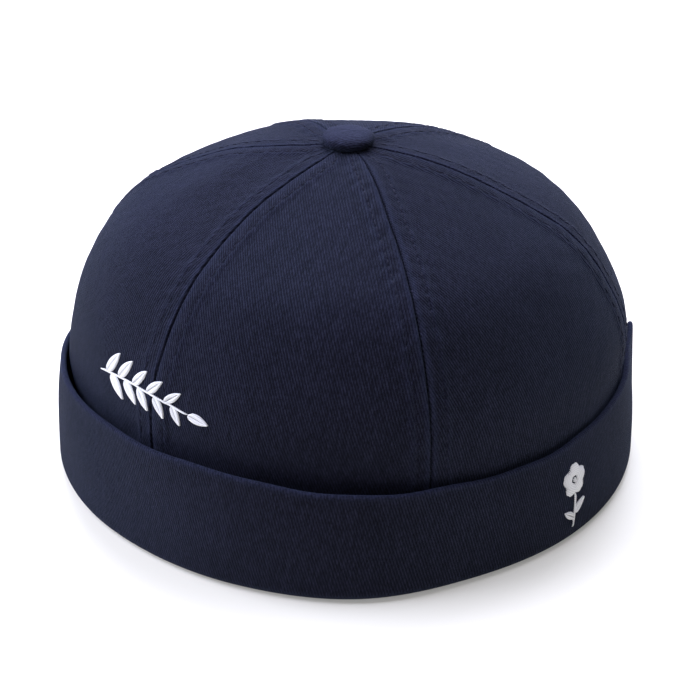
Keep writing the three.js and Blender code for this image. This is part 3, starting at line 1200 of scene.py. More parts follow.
@dataclass
class CrownPanels:
    """The six cut panels of the crown."""

    shape: CrownShape  # surface that they form
    finish: TwillFinish  # their twill
    cloth: float = 1.6 * MM  # thickness of the cloth with its allowance
    gap: float = 0.05 * MM  # width of the seam's line between two panels
    row_count: int = 312  # rows of faces along a panel
    # Distances from the seam of the columns near it.
    seam_columns: tuple[float, ...] = (
        0.0, 0.12 * MM, 0.26 * MM, 0.42 * MM, 0.62 * MM, 0.9 * MM, 1.5 * MM, 2.4 * MM, 3.3 * MM, 4.0 * MM,
        4.35 * MM, 4.55 * MM, 4.7 * MM, 4.85 * MM, 5.05 * MM, 5.4 * MM, 5.9 * MM, 6.6 * MM, 7.4 * MM,
    )
    middle_count: int = 42  # columns of faces between the two seams' columns
    seam_share: float = 0.46  # most of a panel's width that the seam's columns may take, near the top
    inside_rows: int = 12  # rows of the outside to each row of the inside
    inside_seam: tuple[int, ...] = (0, 3, 5, 10, 16, 17, 18)  # columns near a seam that the inside has too
    # Columns of the outside to each column of the inside, between the seams' columns.
    inside_columns: int = 6

    def build(self) -> list[Piece]:
        """Makes and dresses all panels, in order round the cap."""
        return [self.panel(number) for number in range(len(self.shape.seams))]

    def shrink(self, width: Array) -> Array:
        """How much narrower than elsewhere a seam is on a panel of this width."""
        return np.minimum(1.0, self.seam_share * width / self.seam_columns[-1])

    def columns(self, width: Array) -> Array:
        """Distances across a panel at which its columns lie.

        Args:
            width: the panel's width at each row, as one column.

        Returns:
            One row of distances for each width.
        """
        left = np.array(self.seam_columns) * self.shrink(width)
        right = width - left[:, ::-1]
        share = np.linspace(0.0, 1.0, self.middle_count + 1)[1:-1]
        middle = left[:, -1:] + share * (right[:, :1] - left[:, -1:])
        return np.hstack([left, middle, right])

    def panel(self, number: int) -> Piece:
        """Makes and dresses one panel.

        Args:
            number: its place in the order round the cap.

        Returns:
            The panel.
        """
        row = self.shape.seams[number]
        along = np.linspace(0.0, self.shape.length, self.row_count + 1)[:, None]
        start = self.shape.seam_angle(number, along)
        end = self.shape.seam_angle(number + 1, along)
        radius = self.shape.outline(along)[0]
        width = radius * (end - start) - self.gap
        across = self.columns(width)
        angle = start + (self.gap / 2.0 + across) / radius
        along = np.broadcast_to(along, across.shape)
        from_end = width - across
        shrink = self.shrink(width)
        distance = np.minimum(across, from_end) / shrink
        relief = self.shape.relief
        phases = (relief.phase(number, Side.AFTER), relief.phase(number + 1, Side.BEFORE))
        phase = np.where(across < from_end, *phases)
        smooth = self.shape.stand(across / width, angle, along)
        seam = relief.height(distance, along, phase) * shrink
        outer = self.shape.point(angle, along, smooth + seam)
        thin = self._inside(across.shape)
        opened = relief.inside(distance) * shrink
        inner = self.shape.point(angle[thin], along[thin], (smooth - self.cloth - opened)[thin])
        sideways = (angle - (start[0] + end[0]) / 2.0) * radius
        turn = math.radians(row.grain)
        cloth = np.stack(
            [
                sideways * math.cos(turn) - along * math.sin(turn),
                sideways * math.sin(turn) + along * math.cos(turn),
            ],
            axis=-1,
        )
        # paler raised seam edges: part wearing, part painted highlight
        wear_and_highlight = relief.wear_and_highlight(distance) * shrink
        mesh = ClothMesh(
            points=np.vstack([outer.reshape(-1, 3), inner.reshape(-1, 3)]),
            faces=self._faces(outer.shape[:2], inner.shape[:2]),
            cloth=np.vstack([cloth.reshape(-1, 2), cloth[thin].reshape(-1, 2)]),
            wear_and_highlight=np.concatenate([wear_and_highlight.ravel(), np.zeros(inner.shape[0] * inner.shape[1])]),
        )
        piece = dress(mesh.build(f"twill_{row.panel}"), self.finish, row.panel)
        return piece

    def _inside(self, outside: tuple[int, int]) -> tuple[Array, ...]:
        """Rows and columns of the outside that the coarser inside has too.

        Args:
            outside: rows and columns of the outside.

        Returns:
            Numbers of the rows and of the columns, to pick from a grid.
        """
        last = outside[1] - 1
        first = self.inside_seam[-1]
        middle = range(first + self.inside_columns, last - first, self.inside_columns)
        columns = [*self.inside_seam, *middle, *(last - k for k in reversed(self.inside_seam))]
        return np.ix_(np.arange(0, outside[0], self.inside_rows), np.array(columns))

    def _faces(self, outside: tuple[int, int], inside: tuple[int, int]) -> Faces:
        """Faces of a panel's fine outside, coarse inside and four edges.

        Args:
            outside: rows and columns of the outside.
            inside: rows and columns of the inside.

        Returns:
            The faces.
        """
        outer = np.arange(outside[0] * outside[1]).reshape(outside)
        inner = outer.size + np.arange(inside[0] * inside[1]).reshape(inside)
        faces = grid_faces(outer) + grid_faces(inner)
        for first, second in (
            (outer[0], inner[0]),
            (outer[-1], inner[-1]),
            (outer[:, 0], inner[:, 0]),
            (outer[:, -1], inner[:, -1]),
        ):
            faces += bridge_faces(first.tolist(), second.tolist())
        return faces


def thread_mesh(paths: Array, outward: Array, radius: Array, sides: int) -> ClothMesh:
    """Round threads along equal paths.

    Args:
        paths: points of each thread's middle line.
        outward: direction away from the cloth at each point.
        radius: radius of the thread at each point of a path.
        sides: faces round a thread.

    Returns:
        One mesh of all threads.
    """
    count, steps, _ = paths.shape
    forward = np.gradient(paths, axis=1)
    sideways = np.cross(forward, outward)
    sideways /= np.linalg.norm(sideways, axis=-1, keepdims=True)
    upward = np.cross(sideways, forward)
    upward /= np.linalg.norm(upward, axis=-1, keepdims=True)
    share = np.arange(sides) / sides
    turn = TAU * share[:, None]
    ring = np.cos(turn) * sideways[:, :, None, :] + np.sin(turn) * upward[:, :, None, :]
    points = paths[:, :, None, :] + radius[None, :, None, None] * ring
    number = np.arange(count * steps * sides).reshape(count, steps, sides)
    closed = np.concatenate([number, number[:, :, :1]], axis=-1)
    faces = grid_faces(closed) + number[:, 0, ::-1].tolist() + number[:, -1].tolist()
    lengths = np.linalg.norm(np.diff(paths, axis=1), axis=-1)
    run = np.concatenate([np.zeros((count, 1)), np.cumsum(lengths, axis=1)], axis=1)
    wound = np.broadcast_to(share, number.shape)
    cloth = np.stack([wound, np.broadcast_to(run[:, :, None], number.shape)], axis=-1)
    return ClothMesh(points.reshape(-1, 3), faces, cloth.reshape(-1, 2), np.zeros(number.size), lap=1.0)


@dataclass(kw_only=True)
class ThreadWork:
    """Work in short lengths of thread that arch over the cloth."""

    finish: ThreadFinish  # the thread
    radius: float  # radius of the thread
    rise: float  # height of a length's middle above the cloth
    sink: float  # depth of its ends below the cloth
    fullness: float  # how quickly it rises from its ends; less is quicker
    end_share: float  # radius of its ends, as a share of its radius
    steps: int  # points along a length
    sides: int = 6  # faces round it

    def shares(self) -> Array:
        """Shares of a length at which its points lie."""
        return np.linspace(0.0, 1.0, self.steps)

    def arch(self) -> Array:
        """Height of each point of a length above the cloth."""
        bow = np.sin(math.pi * self.shares()) ** self.fullness
        return self.rise * bow - self.sink * (1.0 - bow)

    def work(self, name: str, paths: Array, outward: Array) -> Piece:
        """Makes and dresses one piece of work.

        Args:
            name: name of the piece.
            paths: points of each length's middle line.
            outward: direction away from the cloth at each point.

        Returns:
            The piece.
        """
        radius = np.full(self.steps, self.radius)
        radius[[0, -1]] *= self.end_share
        return dress(thread_mesh(paths, outward, radius, self.sides).build(name), self.finish)


@dataclass(kw_only=True)
class Topstitching(ThreadWork):
    """Rows of stitches that hold the seam allowances down."""

    panels: CrownPanels  # panels that are stitched
    radius: float = 0.19 * MM
    rise: float = 0.12 * MM
    sink: float = 0.30 * MM
    fullness: float = 0.6
    end_share: float = 0.7
    steps: int = 7
    start_height: float = 4.0 * MM  # height of the first stitch
    stop_radius: float = 7.5 * MM  # distance from the axis of the last stitch
    visible: float = 0.9  # share of a stitch's length that shows
    slant: float = 0.16 * MM  # how far a stitch leans across its row
    stray: float = 0.03 * MM  # spread of the stitches across their row
    uneven: float = 0.02 * MM  # spread of their heights
    most: int = 400  # more stitches than any row has
    seed: int = 5  # choice of small irregularities

    def build(self) -> list[Piece]:
        """Makes and dresses the two rows of every seam."""
        dice = np.random.default_rng(self.seed)
        pieces = []
        for number, seam in enumerate(self.panels.shape.seams):
            rows = [self._row(number, side, dice) for side in Side]
            paths = np.concatenate([path for path, _ in rows])
            outward = np.concatenate([direction for _, direction in rows])
            pieces.append(self.work(f"topstitch_seam_{seam.degrees:03.0f}", paths, outward))
        return pieces

    def _row(self, number: int, side: Side, dice: np.random.Generator) -> tuple[Array, Array]:
        """Paths of the stitches of one row.

        Args:
            number: number of the seam.
            side: side of the seam.
            dice: source of small irregularities.

        Returns:
            Points of each stitch, and the outward direction at each.
        """
        shape = self.panels.shape
        relief = shape.relief
        phase = relief.phase(number, side)
        panel = number if side is Side.AFTER else (number - 1) % len(shape.seams)
        low = shape.along_at(self.start_height)
        holes = (np.arange(math.ceil(low / relief.pitch + phase), self.most) - phase) * relief.pitch
        holes = holes[shape.outline(np.minimum(holes, shape.length))[0] > self.stop_radius]
        holes = holes[holes < shape.length - relief.pitch]
        share = self.shares()
        reach = (1.0 - self.visible) / 2.0 + self.visible * share
        along = holes[:, None] + relief.pitch * reach
        radius = shape.outline(along)[0]
        start = shape.seam_angle(panel, along)
        end = shape.seam_angle(panel + 1, along)
        width = radius * (end - start) - self.panels.gap
        shrink = self.panels.shrink(width)
        lean = self.slant * (0.5 - share) + dice.normal(0.0, self.stray, (len(holes), 1))
        across = (relief.row + lean) * shrink
        seam = start if side is Side.AFTER else end
        angle = seam + side.value * (self.panels.gap / 2.0 + across) / radius
        inside = across / width if side is Side.AFTER else 1.0 - across / width
        pulled = (relief.lift(across / shrink) - relief.row_depth) * shrink
        cloth = shape.stand(inside, angle, along) + pulled
        raised = self.arch() + dice.normal(0.0, self.uneven, (len(holes), 1))
        return shape.point(angle, along, cloth + raised), shape.outward(angle, along)


@dataclass
class Cuff:
    """Turned-up cuff with its rolled rim, lower fold and inner leg, open at the back."""

    axis: Vector  # foot of the cap's axis
    finish: TwillFinish  # its twill
    rows: tuple[CuffRow, ...] = CUFF_ROWS  # plan and height at each angle
    wall: float = 2.0 * MM  # thickness of the doubled wall
    fold_wall: float = 1.8 * MM  # thickness of the lower fold
    corner: float = 4.0 * MM  # rounding of the lower outer corner
    inner_corner: float = 0.8 * MM  # rounding of the lower inner corner
    leg_outer: float = 89.8 * MM  # outer radius of the inner leg
    leg_wall: float = 1.3 * MM  # thickness of the inner leg
    leg_height: float = 11.0 * MM  # height of the inner leg
    open_start: float = math.radians(139.0)  # angle where the turned-up part ends
    open_end: float = math.radians(221.0)  # angle where it starts again
    hem: float = 20.0 * MM  # height of the hem that goes on behind the crown
    end_round: float = 1.2 * MM  # rounding of the upper corner at each end
    pinch_below: float = 1.0 * MM  # how far below the hem's height the ends start to narrow
    pinch_above: float = 2.0 * MM  # how far above it they are narrowest
    least_pinch: float = 0.02  # least thickness at an end, as a share
    bulge: float = 0.5 * MM  # how far the wall bows out between fold and rim
    wave_end: float = 24.0 * MM  # height above which the wall is uneven
    # Slow unevenness of the wall.
    waves: SoftWaves = SoftWaves(seed=31, size=0.30 * MM, turns=(4, 14), rows=(6.0, 22.0))
    # Slow unevenness of the rim's height.
    rim_waves: SoftWaves = SoftWaves(seed=37, size=0.22 * MM, turns=(5, 24), rows=(0.0, 1.0))
    edge_wear_and_highlight: float = 0.45  # paleness of the rim, part wearing and part painted highlight, and wearing of the ends
    rim_wear_and_highlight_width: float = 1.2 * MM  # width of the rim's paleness
    end_wear_width: float = 1.0 * MM  # width of the ends' wear
    fold_wear: float = 0.22  # wear of the lower fold
    fold_wear_height: float = 1.2 * MM  # height of the middle of that wear
    fold_wear_width: float = 1.6 * MM  # width of that wear
    under_points: int = 6  # points across the underside
    corner_points: int = 11  # points round the lower outer corner
    wall_points: int = 45  # points up the wall
    rim_points: int = 13  # points over the rim
    leg_points: int = 7  # points up each side of the inner leg
    leg_top_points: int = 6  # points over its top
    step_count: int = 400  # steps round the cap
    # Distances from each end at which extra steps lie.
    end_steps: tuple[float, ...] = (
        -2.0 * MM, -0.8 * MM, -0.02 * MM, 0.0, 0.03 * MM, 0.1 * MM, 0.22 * MM, 0.4 * MM, 0.62 * MM,
        0.85 * MM, 1.1 * MM, 1.5 * MM,
    )

    def plan(self, angle: Array) -> tuple[Array, Array, Array]:
        """Base radius, lean and rim height at any angle, as smooth closed curves through the rows.

        Args:
            angle: angles round the cap.

        Returns:
            Base, lean and rim.
        """
        degrees = np.array([row.degrees for row in self.rows])
        values = np.array([(row.base, row.lean, row.rim) for row in self.rows])
        knots = np.concatenate([degrees[-2:] - FULL_TURN, degrees, degrees[:3] + FULL_TURN])
        columns = np.vstack([values[-2:], values, values[:3]])
        slopes = np.zeros_like(columns)
        slopes[1:-1] = (columns[2:] - columns[:-2]) / (knots[2:] - knots[:-2])[:, None]
        where = np.mod(np.degrees(angle), FULL_TURN)
        low = np.clip(np.searchsorted(knots, where, side="right") - 1, 1, len(knots) - 3)
        span = knots[low + 1] - knots[low]
        share = ((where - knots[low]) / span)[..., None]
        rest = 1.0 - share
        ends = rest**2 * (1.0 + 2.0 * share) * columns[low]
        ends = ends + share**2 * (1.0 + 2.0 * rest) * columns[low + 1]
        bends = share * rest * span[..., None] * (rest * slopes[low] - share * slopes[low + 1])
        base, lean, rim = np.moveaxis(ends + bends, -1, 0)
        return base, lean, rim + self.rim_waves.height(angle, np.zeros_like(angle))

    def outside(self, angle: Array, height: Array) -> Array:
        """Outer radius of the wall.

        Args:
            angle: angles round the cap.
            height: heights on the wall.

        Returns:
            Distance from the axis.
        """
        base, lean, rim = self.plan(angle)
        share = np.clip((height - self.corner) / (rim - self.wall / 2.0 - self.corner), 0.0, 1.0)
        uneven = self.waves.height(angle, height) * smooth_step(height, self.corner, self.wave_end)
        return base + lean * share + self.bulge * np.sin(math.pi * share) + uneven

    def lay(self, angle: float, height: float, flat: Array, lift: Array) -> tuple[Array, Array]:
        """Lays a flat design on the cuff.

        Args:
            angle: angle of the design's middle.
            height: height of the design's middle.
            flat: points of the design, each as a distance to the right and a distance up.
            lift: heights of the points above the cloth.

        Returns:
            The points, and the outward direction at each.
        """
        level = height + flat[..., 1]
        turned = angle + flat[..., 0] / self.rows[0].base
        radius = self.outside(turned, level) + lift
        sideways = around(Vector(), turned, np.ones_like(radius), np.zeros_like(radius))
        return around(self.axis, turned, radius, level), sideways

    def inside_end(self, angle: Array) -> Array:
        """Distance inside the nearest end of the turned-up part, negative in the opening."""
        return np.maximum(self.open_start - angle, angle - self.open_end) * self.rows[0].base

    def angles(self) -> Array:
        """Angles of the steps round the cap, close together at the two ends."""
        near = np.array(self.end_steps) / self.rows[0].base
        even = np.arange(self.step_count) * TAU / self.step_count
        reach = near.max()
        spare = np.minimum(np.abs(even - self.open_start), np.abs(even - self.open_end)) > reach
        return np.sort(np.concatenate([even[spare], self.open_start - near, self.open_end + near]))

    def _leg(self) -> tuple[Array, Array]:
        """Radius and height along the inner leg, up its outside, over its top and down its inside."""
        half = self.leg_wall / 2.0
        top = self.leg_height - half
        up = np.linspace(self.fold_wall, top, self.leg_points)[1:]
        turn = np.linspace(0.0, math.pi, self.leg_top_points)[1:-1]
        down = np.linspace(top, self.inner_corner, self.leg_points)
        outer = np.full(len(up), self.leg_outer)
        over = self.leg_outer - half + half * np.cos(turn)
        inner = np.full(len(down), self.leg_outer - self.leg_wall)
        return np.concatenate([outer, over, inner]), np.concatenate([up, top + half * np.sin(turn), down])

    def section(self, angle: Array) -> tuple[Array, Array, Array]:
        """Loops of points round the cuff's cross-section.

        Args:
            angle: angles of the loops, as one column.

        Returns:
            Radius, height and paleness of each point of each loop, from wearing and from painted highlight
            along the rim.
        """
        base, _, rim = self.plan(angle)
        roll = self.wall / 2.0
        depth = self.inside_end(angle)
        gone = np.clip(1.0 - depth / self.end_round, 0.0, 1.0)
        rounded = rim - self.end_round * (1.0 - np.sqrt(1.0 - gone**2))
        top = np.where(depth >= 0.0, rounded, self.hem) - roll
        near_end = np.clip(1.0 - depth / roll, 0.0, 1.0)
        narrow = np.sqrt(np.clip(1.0 - near_end**2, self.least_pinch**2, 1.0))
        pinch = np.where(depth >= 0.0, narrow, 1.0)
        under_start = self.leg_outer - self.leg_wall + self.inner_corner
        under_end = base - self.corner
        under = under_start + (under_end - under_start) * np.linspace(0.0, 1.0, self.under_points)
        turn = np.linspace(0.0, math.pi / 2.0, self.corner_points)[1:-1]
        corner_radius = base - self.corner * (1.0 - np.sin(turn))
        corner_height = np.broadcast_to(self.corner * (1.0 - np.cos(turn)), corner_radius.shape)
        wall_height = self.corner + (top - self.corner) * np.linspace(0.0, 1.0, self.wall_points)
        pinched = smooth_step(wall_height, self.hem - self.pinch_below, self.hem + self.pinch_above)
        half = roll * (1.0 + (pinch - 1.0) * pinched)
        middle = self.outside(angle, wall_height) - roll
        over = np.linspace(0.0, math.pi, self.rim_points)[1:-1]
        rim_radius = middle[:, -1:] + half[:, -1:] * np.cos(over)
        rim_height = top + roll * np.sin(over)
        back = slice(None, None, -2)
        floor_radius = np.hstack([under_end, np.full_like(base, self.leg_outer)])
        leg_radius, leg_height = (np.tile(values, (len(angle), 1)) for values in self._leg())
        radius = np.hstack([
            under, corner_radius, middle + half, rim_radius, (middle - half)[:, back],
            floor_radius, leg_radius,
        ])
        height = np.hstack([
            np.zeros_like(under), corner_height, wall_height, rim_height, wall_height[:, back],
            np.full_like(floor_radius, self.fold_wall), leg_height,
        ])
        # painted highlight along the rolled rim, with wearing; wearing of the fold and the ends
        on_rim = self.edge_wear_and_highlight * bell(height - (top + roll), 0.0, self.rim_wear_and_highlight_width)
        on_fold = self.fold_wear * bell(height, self.fold_wear_height, self.fold_wear_width)
        on_end = self.edge_wear_and_highlight * bell(depth, 0.0, self.end_wear_width)
        wear_and_highlight = np.maximum(on_rim, on_fold) + on_end
        hidden = floor_radius.shape[1] + leg_radius.shape[1]
        wear_and_highlight[:, -hidden:] = 0.0
        return radius, height, wear_and_highlight

    def build(self) -> Piece:
        """Makes and dresses the cuff."""
        angle = self.angles()[:, None]
        radius, height, wear_and_highlight = self.section(angle)
        points = around(self.axis, angle, radius, height)
        steps, count = radius.shape
        number = np.arange(steps * count).reshape(steps, count)
        closed = np.pad(number, ((0, 1), (0, 1)), mode="wrap")
        loop_steps = np.hypot(np.diff(radius, axis=1), np.diff(height, axis=1))
        run = np.hstack([np.zeros((steps, 1)), np.cumsum(loop_steps, axis=1)])
        mean_radius = self.rows[0].base
        from_front = np.where(angle > math.pi, angle - TAU, angle)
        cloth = np.stack([np.broadcast_to(from_front * mean_radius, run.shape), run], axis=-1)
        mesh = ClothMesh(
            points=points.reshape(-1, 3),
            faces=grid_faces(closed),
            cloth=cloth.reshape(-1, 2),
            wear_and_highlight=np.clip(wear_and_highlight, 0.0, 1.0).ravel(),
            lap=TAU * mean_radius,
        )
        piece = dress(mesh.build("twill_cuff", sharp_degrees=80.0), self.finish, "cuff")
        return piece


@dataclass(frozen=True)
class LumpRow:
    """One slow swell round the button."""

    size: float  # height of the swell
    turns: float  # swells round the button
    shift: float  # turn of the swells, in radians


@dataclass
class TopButton:
    """Covered button where the panels meet."""

    axis: Vector  # foot of the cap's axis
    finish: TwillFinish  # its twill
    radius: float = 8.6 * MM  # radius of the button
    under: float = 110.2 * MM  # height of its underside
    edge: float = 1.9 * MM  # rounding of its lower edge
    top: float = 114.9 * MM  # height of its top
    rounding: float = 0.9  # how evenly the dome turns over; 1 is an ellipse, less is fuller
    stem_radius: float = 1.9 * MM  # radius of its stem
    stem_bottom: float = 106.6 * MM  # lowest point of the stem
    gathers: int = 17  # number of small gathers round the lower edge
    gather_depth: float = 0.16 * MM  # depth of a gather
    gather_height: float = 2.4 * MM  # height above the underside at which the gathers are gone
    drift: float = 1.3  # how unevenly the gathers follow each other, in radians
    drift_turns: float = 3.0  # waves of that unevenness round the button
    # Slow swells round the button.
    lumps: tuple[LumpRow, ...] = (
        LumpRow(size=0.07 * MM, turns=3.0, shift=0.8),
        LumpRow(size=0.05 * MM, turns=5.0, shift=2.1),
    )
    lump_rise: float = 0.5  # how much of a swell goes upwards
    top_highlight_and_wear: float = 0.75  # paleness of the top, from 0 to 1: painted highlight on the lit top, with wearing
    highlight_and_wear_start: float = 0.6 * MM  # height above the lower edge where that paleness starts
    pole: float = 0.02 * MM  # radius at the two ends of the outline
    stem_points: int = 5  # points up the stem
    under_points: int = 6  # points across the underside
    edge_points: int = 9  # points round the lower edge
    dome_points: int = 31  # points over the dome
    sides: int = 144  # steps round the button

    def build(self) -> Piece:
        """Makes and dresses the button."""
        radius, height = self._profile()
        angle = np.arange(self.sides)[:, None] * TAU / self.sides
        low = 1.0 - smooth_step(height, self.under, self.under + self.gather_height)
        low = low * smooth_step(radius, self.stem_radius, self.radius)
        folds = np.sin(self.gathers * angle + self.drift * np.sin(self.drift_turns * angle))
        dome = smooth_step(height, self.under + self.edge, self.top)
        lumps = sum(lump.size * np.sin(lump.turns * angle + lump.shift) for lump in self.lumps)
        spread = radius + self.gather_depth * folds * low + lumps * smooth_step(radius, 0.0, self.radius)
        raised = np.broadcast_to(height + self.lump_rise * lumps * dome, spread.shape)
        points = around(self.axis, angle, spread, raised)
        steps, count = spread.shape
        number = np.arange(steps * count).reshape(steps, count)
        faces = grid_faces(np.vstack([number, number[:1]])) + number[:, [0, -1]].T.tolist()
        run = np.concatenate([np.cumsum(np.hypot(np.diff(radius), np.diff(height))[::-1])[::-1], [0.0]])
        cloth = np.stack([run * np.sin(angle), -run * np.cos(angle)], axis=-1)
        # painted highlight that grows towards the lit top, with wearing
        wear_and_highlight = self.top_highlight_and_wear * smooth_step(height, self.under + self.edge + self.highlight_and_wear_start, self.top)
        mesh = ClothMesh(
            points=points.reshape(-1, 3),
            faces=faces,
            cloth=cloth.reshape(-1, 2),
            wear_and_highlight=np.broadcast_to(wear_and_highlight, spread.shape).ravel(),
        )
        return dress(mesh.build("twill_top_button"), self.finish, "top_button")

    def _profile(self) -> tuple[Array, Array]:
        """Radius and height along the button's outline, from the stem's foot to the top."""
        stem = [(self.pole, self.stem_bottom), (self.stem_radius, self.stem_bottom)]
        stem_heights = np.linspace(self.stem_bottom, self.under, self.stem_points)[1:]
        stem += [(self.stem_radius, height) for height in stem_heights]
        flat_radii = np.linspace(self.stem_radius, self.radius - self.edge, self.under_points)[1:]
        flat = [(radius, self.under) for radius in flat_radii]
        middle = self.under + self.edge
        edge = [
            (self.radius - self.edge * (1.0 - math.sin(turn)), middle - self.edge * math.cos(turn))
            for turn in np.linspace(0.0, math.pi / 2.0, self.edge_points)[1:]
        ]
        rise = self.top - middle
        dome = []
        for turn in np.linspace(0.0, math.pi / 2.0, self.dome_points)[1:-1]:
            radius = self.radius * math.cos(turn) ** self.rounding
            dome.append((max(self.pole, radius), middle + rise * math.sin(turn) ** self.rounding))
        outline = np.array([*stem, *flat, *edge, *dome, (self.pole, self.top)])
        return outline[:, 0], outline[:, 1]


def heading_axes(degrees: float) -> tuple[Array, Array]:
    """Unit vectors along a heading on a flat design, and to its left.

    Args:
        degrees: heading, from the right.

    Returns:
        The two vectors.
    """
    turn = math.radians(degrees)
    return np.array([math.cos(turn), math.sin(turn)]), np.array([-math.sin(turn), math.cos(turn)])


@dataclass(frozen=True)
class Leaf:
    """One leaf in satin stitch."""

    across: float  # place of its foot to the right of the design's middle
    up: float  # place of its foot above it
    heading: float  # direction that it points in, in degrees from the right
    length: float  # length from foot to tip
    width: float  # greatest width
    fewest: int = 4  # least number of strands on each side
    rib_start: float = 0.02  # share of the length at the first strand
    rib_end: float = 0.93  # share of the length at the last strand
    slant: float = 0.2  # how far a strand leans forwards, as a share of the length
    slant_loss: float = 0.6  # share of that lost at the tip
    fullness: float = 0.8  # how broadly the outline turns; less is broader
    rib_gap: float = 0.12 * MM  # distance of a strand's foot from the rib

    def strands(self, spacing: float) -> Array:
        """Start and end of each strand, slanting from the middle rib to the edges.

        Args:
            spacing: distance between strands along the rib.

        Returns:
            One row for each strand, holding its two ends.
        """
        count = max(self.fewest, round(self.length / spacing))
        rib = np.linspace(self.rib_start, self.rib_end, count)
        edge = np.minimum(1.0, rib + self.slant * (1.0 - self.slant_loss * rib))
        half = self.width / 2.0 * np.sin(math.pi * edge**self.fullness) ** self.fullness
        forward, left = heading_axes(self.heading)
        foot = np.array([self.across, self.up])
        starts = foot + rib[:, None] * self.length * forward
        sides = []
        for sign in (-1.0, 1.0):
            bent = starts + sign * self.rib_gap * left
            ends = foot + edge[:, None] * self.length * forward + sign * half[:, None] * left
            sides.append(np.stack([bent, ends], axis=1))
        return np.concatenate(sides)


@dataclass(frozen=True)
class Petal:
    """One petal in satin stitch."""

    across: float  # place of the flower's middle to the right of the design's middle
    up: float  # place of the flower's middle above it
    heading: float  # direction that the petal points in, in degrees from the right
    inner: float  # distance of its foot from the flower's middle
    outer: float  # distance of its tip
    width: float  # greatest width
    fewest: int = 5  # least number of strands
    rounding: float = 0.55  # how much shorter the outermost strands are
    notch: float = 0.06  # depth of the notch in the tip, as a share
    notch_width: float = 0.25  # width of the notch, as a share
    foot_share: float = 0.22  # half width of the foot, as a share of the width

    def strands(self, spacing: float) -> Array:
        """Start and end of each strand, fanning out from the flower's middle.

        Args:
            spacing: distance between strands at the petal's widest place.

        Returns:
            One row for each strand, holding its two ends.
        """
        count = max(self.fewest, round(self.width / spacing))
        side = np.linspace(-1.0, 1.0, count)
        forward, left = heading_axes(self.heading)
        middle = np.array([self.across, self.up])
        notch = self.notch * bell(side, 0.0, self.notch_width)
        reach = self.outer * (np.sqrt(1.0 - self.rounding * side**2) - notch)
        starts = middle + self.inner * forward + (self.foot_share * self.width * side)[:, None] * left
        ends = middle + reach[:, None] * forward + (self.width / 2.0 * side)[:, None] * left
        return np.stack([starts, ends], axis=1)


@dataclass(kw_only=True)
class Embroidery(ThreadWork):
    """A motif in white thread."""

    name: str  # name of the piece
    ground: CrownShape | Cuff  # cloth that it is laid on
    angle: float  # angle of its middle
    height: float  # height of its middle
    strands: Array  # two ends of each strand
    radius: float = 0.2 * MM
    rise: float = 0.42 * MM
    sink: float = 0.08 * MM
    fullness: float = 0.55
    end_share: float = 0.75
    steps: int = 9

    def build(self) -> Piece:
        """Makes and dresses the motif."""
        starts = self.strands[:, :1]
        flat = starts + self.shares()[None, :, None] * (self.strands[:, 1:] - starts)
        lift = np.broadcast_to(self.arch(), flat.shape[:2])
        paths, outward = self.ground.lay(self.angle, self.height, flat, lift)
        return self.work(self.name, paths, outward)


def stem_strands(line: Array, stitch: float, step: float, lean: float = 0.16 * MM) -> Array:
    """Overlapping stitches along a line.

    Args:
        line: points of the line, close together.
        stitch: length of a stitch.
        step: distance from the start of one to the start of the next.
        lean: distance of a stitch's ends from the line.

    Returns:
        One row for each strand, holding its two ends.
    """
    lengths = np.concatenate([[0.0], np.cumsum(np.linalg.norm(np.diff(line, axis=0), axis=1))])
    starts = np.arange(0.0, lengths[-1] - stitch, step)
    feet, tips = (
        np.stack([np.interp(run, lengths, column) for column in line.T], axis=-1)
        for run in (starts, starts + stitch)
    )
    forward = tips - feet
    left = np.stack([-forward[:, 1], forward[:, 0]], axis=-1)
    left *= lean / np.linalg.norm(left, axis=1, keepdims=True)
    return np.stack([feet - left, tips + left], axis=1)


@dataclass(frozen=True)
class Sprig:
    """A leafy sprig, which lies along the crown's front."""

    spacing: float = 0.34 * MM  # distance between strands
    start: float = -23.0 * MM  # place of the stem's foot to the right of the design's middle
    length: float = 42.0 * MM  # how far the stem runs to the right
    bow: float = 4.2 * MM  # height of the stem's bow
    drop: float = 3.4 * MM  # how far below the design's middle the bow starts from
    bow_start: float = 0.15  # share of a half turn at which the bow starts
    bow_run: float = 0.72  # share of a half turn that it takes
    points: int = 80  # points along the stem
    stitch: float = 3.0 * MM  # length of a stem stitch
    step: float = 0.8 * MM  # distance from one stem stitch to the next
    pairs: int = 5  # pairs of leaves
    leaf_length: float = 9.4 * MM  # length of the first leaves
    leaf_loss: float = 0.7 * MM  # how much shorter each pair is than the one before
    leaf_width: float = 0.40  # width of a leaf, as a share of its length
    leaf_turn: float = 46.0  # angle between leaf and stem, in degrees
    left_start: float = 0.10  # share of the stem at the first leaf on the left
    right_start: float = 0.17  # share of the stem at the first leaf on the right
    pair_step: float = 0.17  # share of the stem from one pair to the next
    tip_length: float = 7.5 * MM  # length of the leaf at the tip
    tip_width: float = 3.0 * MM  # width of the leaf at the tip

    def strands(self) -> Array:
        """Two ends of each strand."""
        share = np.linspace(0.0, 1.0, self.points)
        height = self.bow * np.sin(math.pi * (self.bow_start + self.bow_run * share)) - self.drop
        line = np.stack([self.start + self.length * share, height], axis=-1)
        slope = np.degrees(np.arctan2(np.gradient(line[:, 1]), np.gradient(line[:, 0])))
        leaves = []
        for pair in range(self.pairs):
            length = self.leaf_length - self.leaf_loss * pair
            for sign, start in ((1.0, self.left_start), (-1.0, self.right_start)):
                foot = round((start + self.pair_step * pair) * (self.points - 1))
                heading = slope[foot] + sign * self.leaf_turn
                leaves.append(Leaf(*line[foot], heading, length, self.leaf_width * length))
        leaves.append(Leaf(*line[-1], slope[-1], self.tip_length, self.tip_width))
        stem = stem_strands(line, self.stitch, self.step)
        return np.concatenate([stem, *(leaf.strands(self.spacing) for leaf in leaves)])


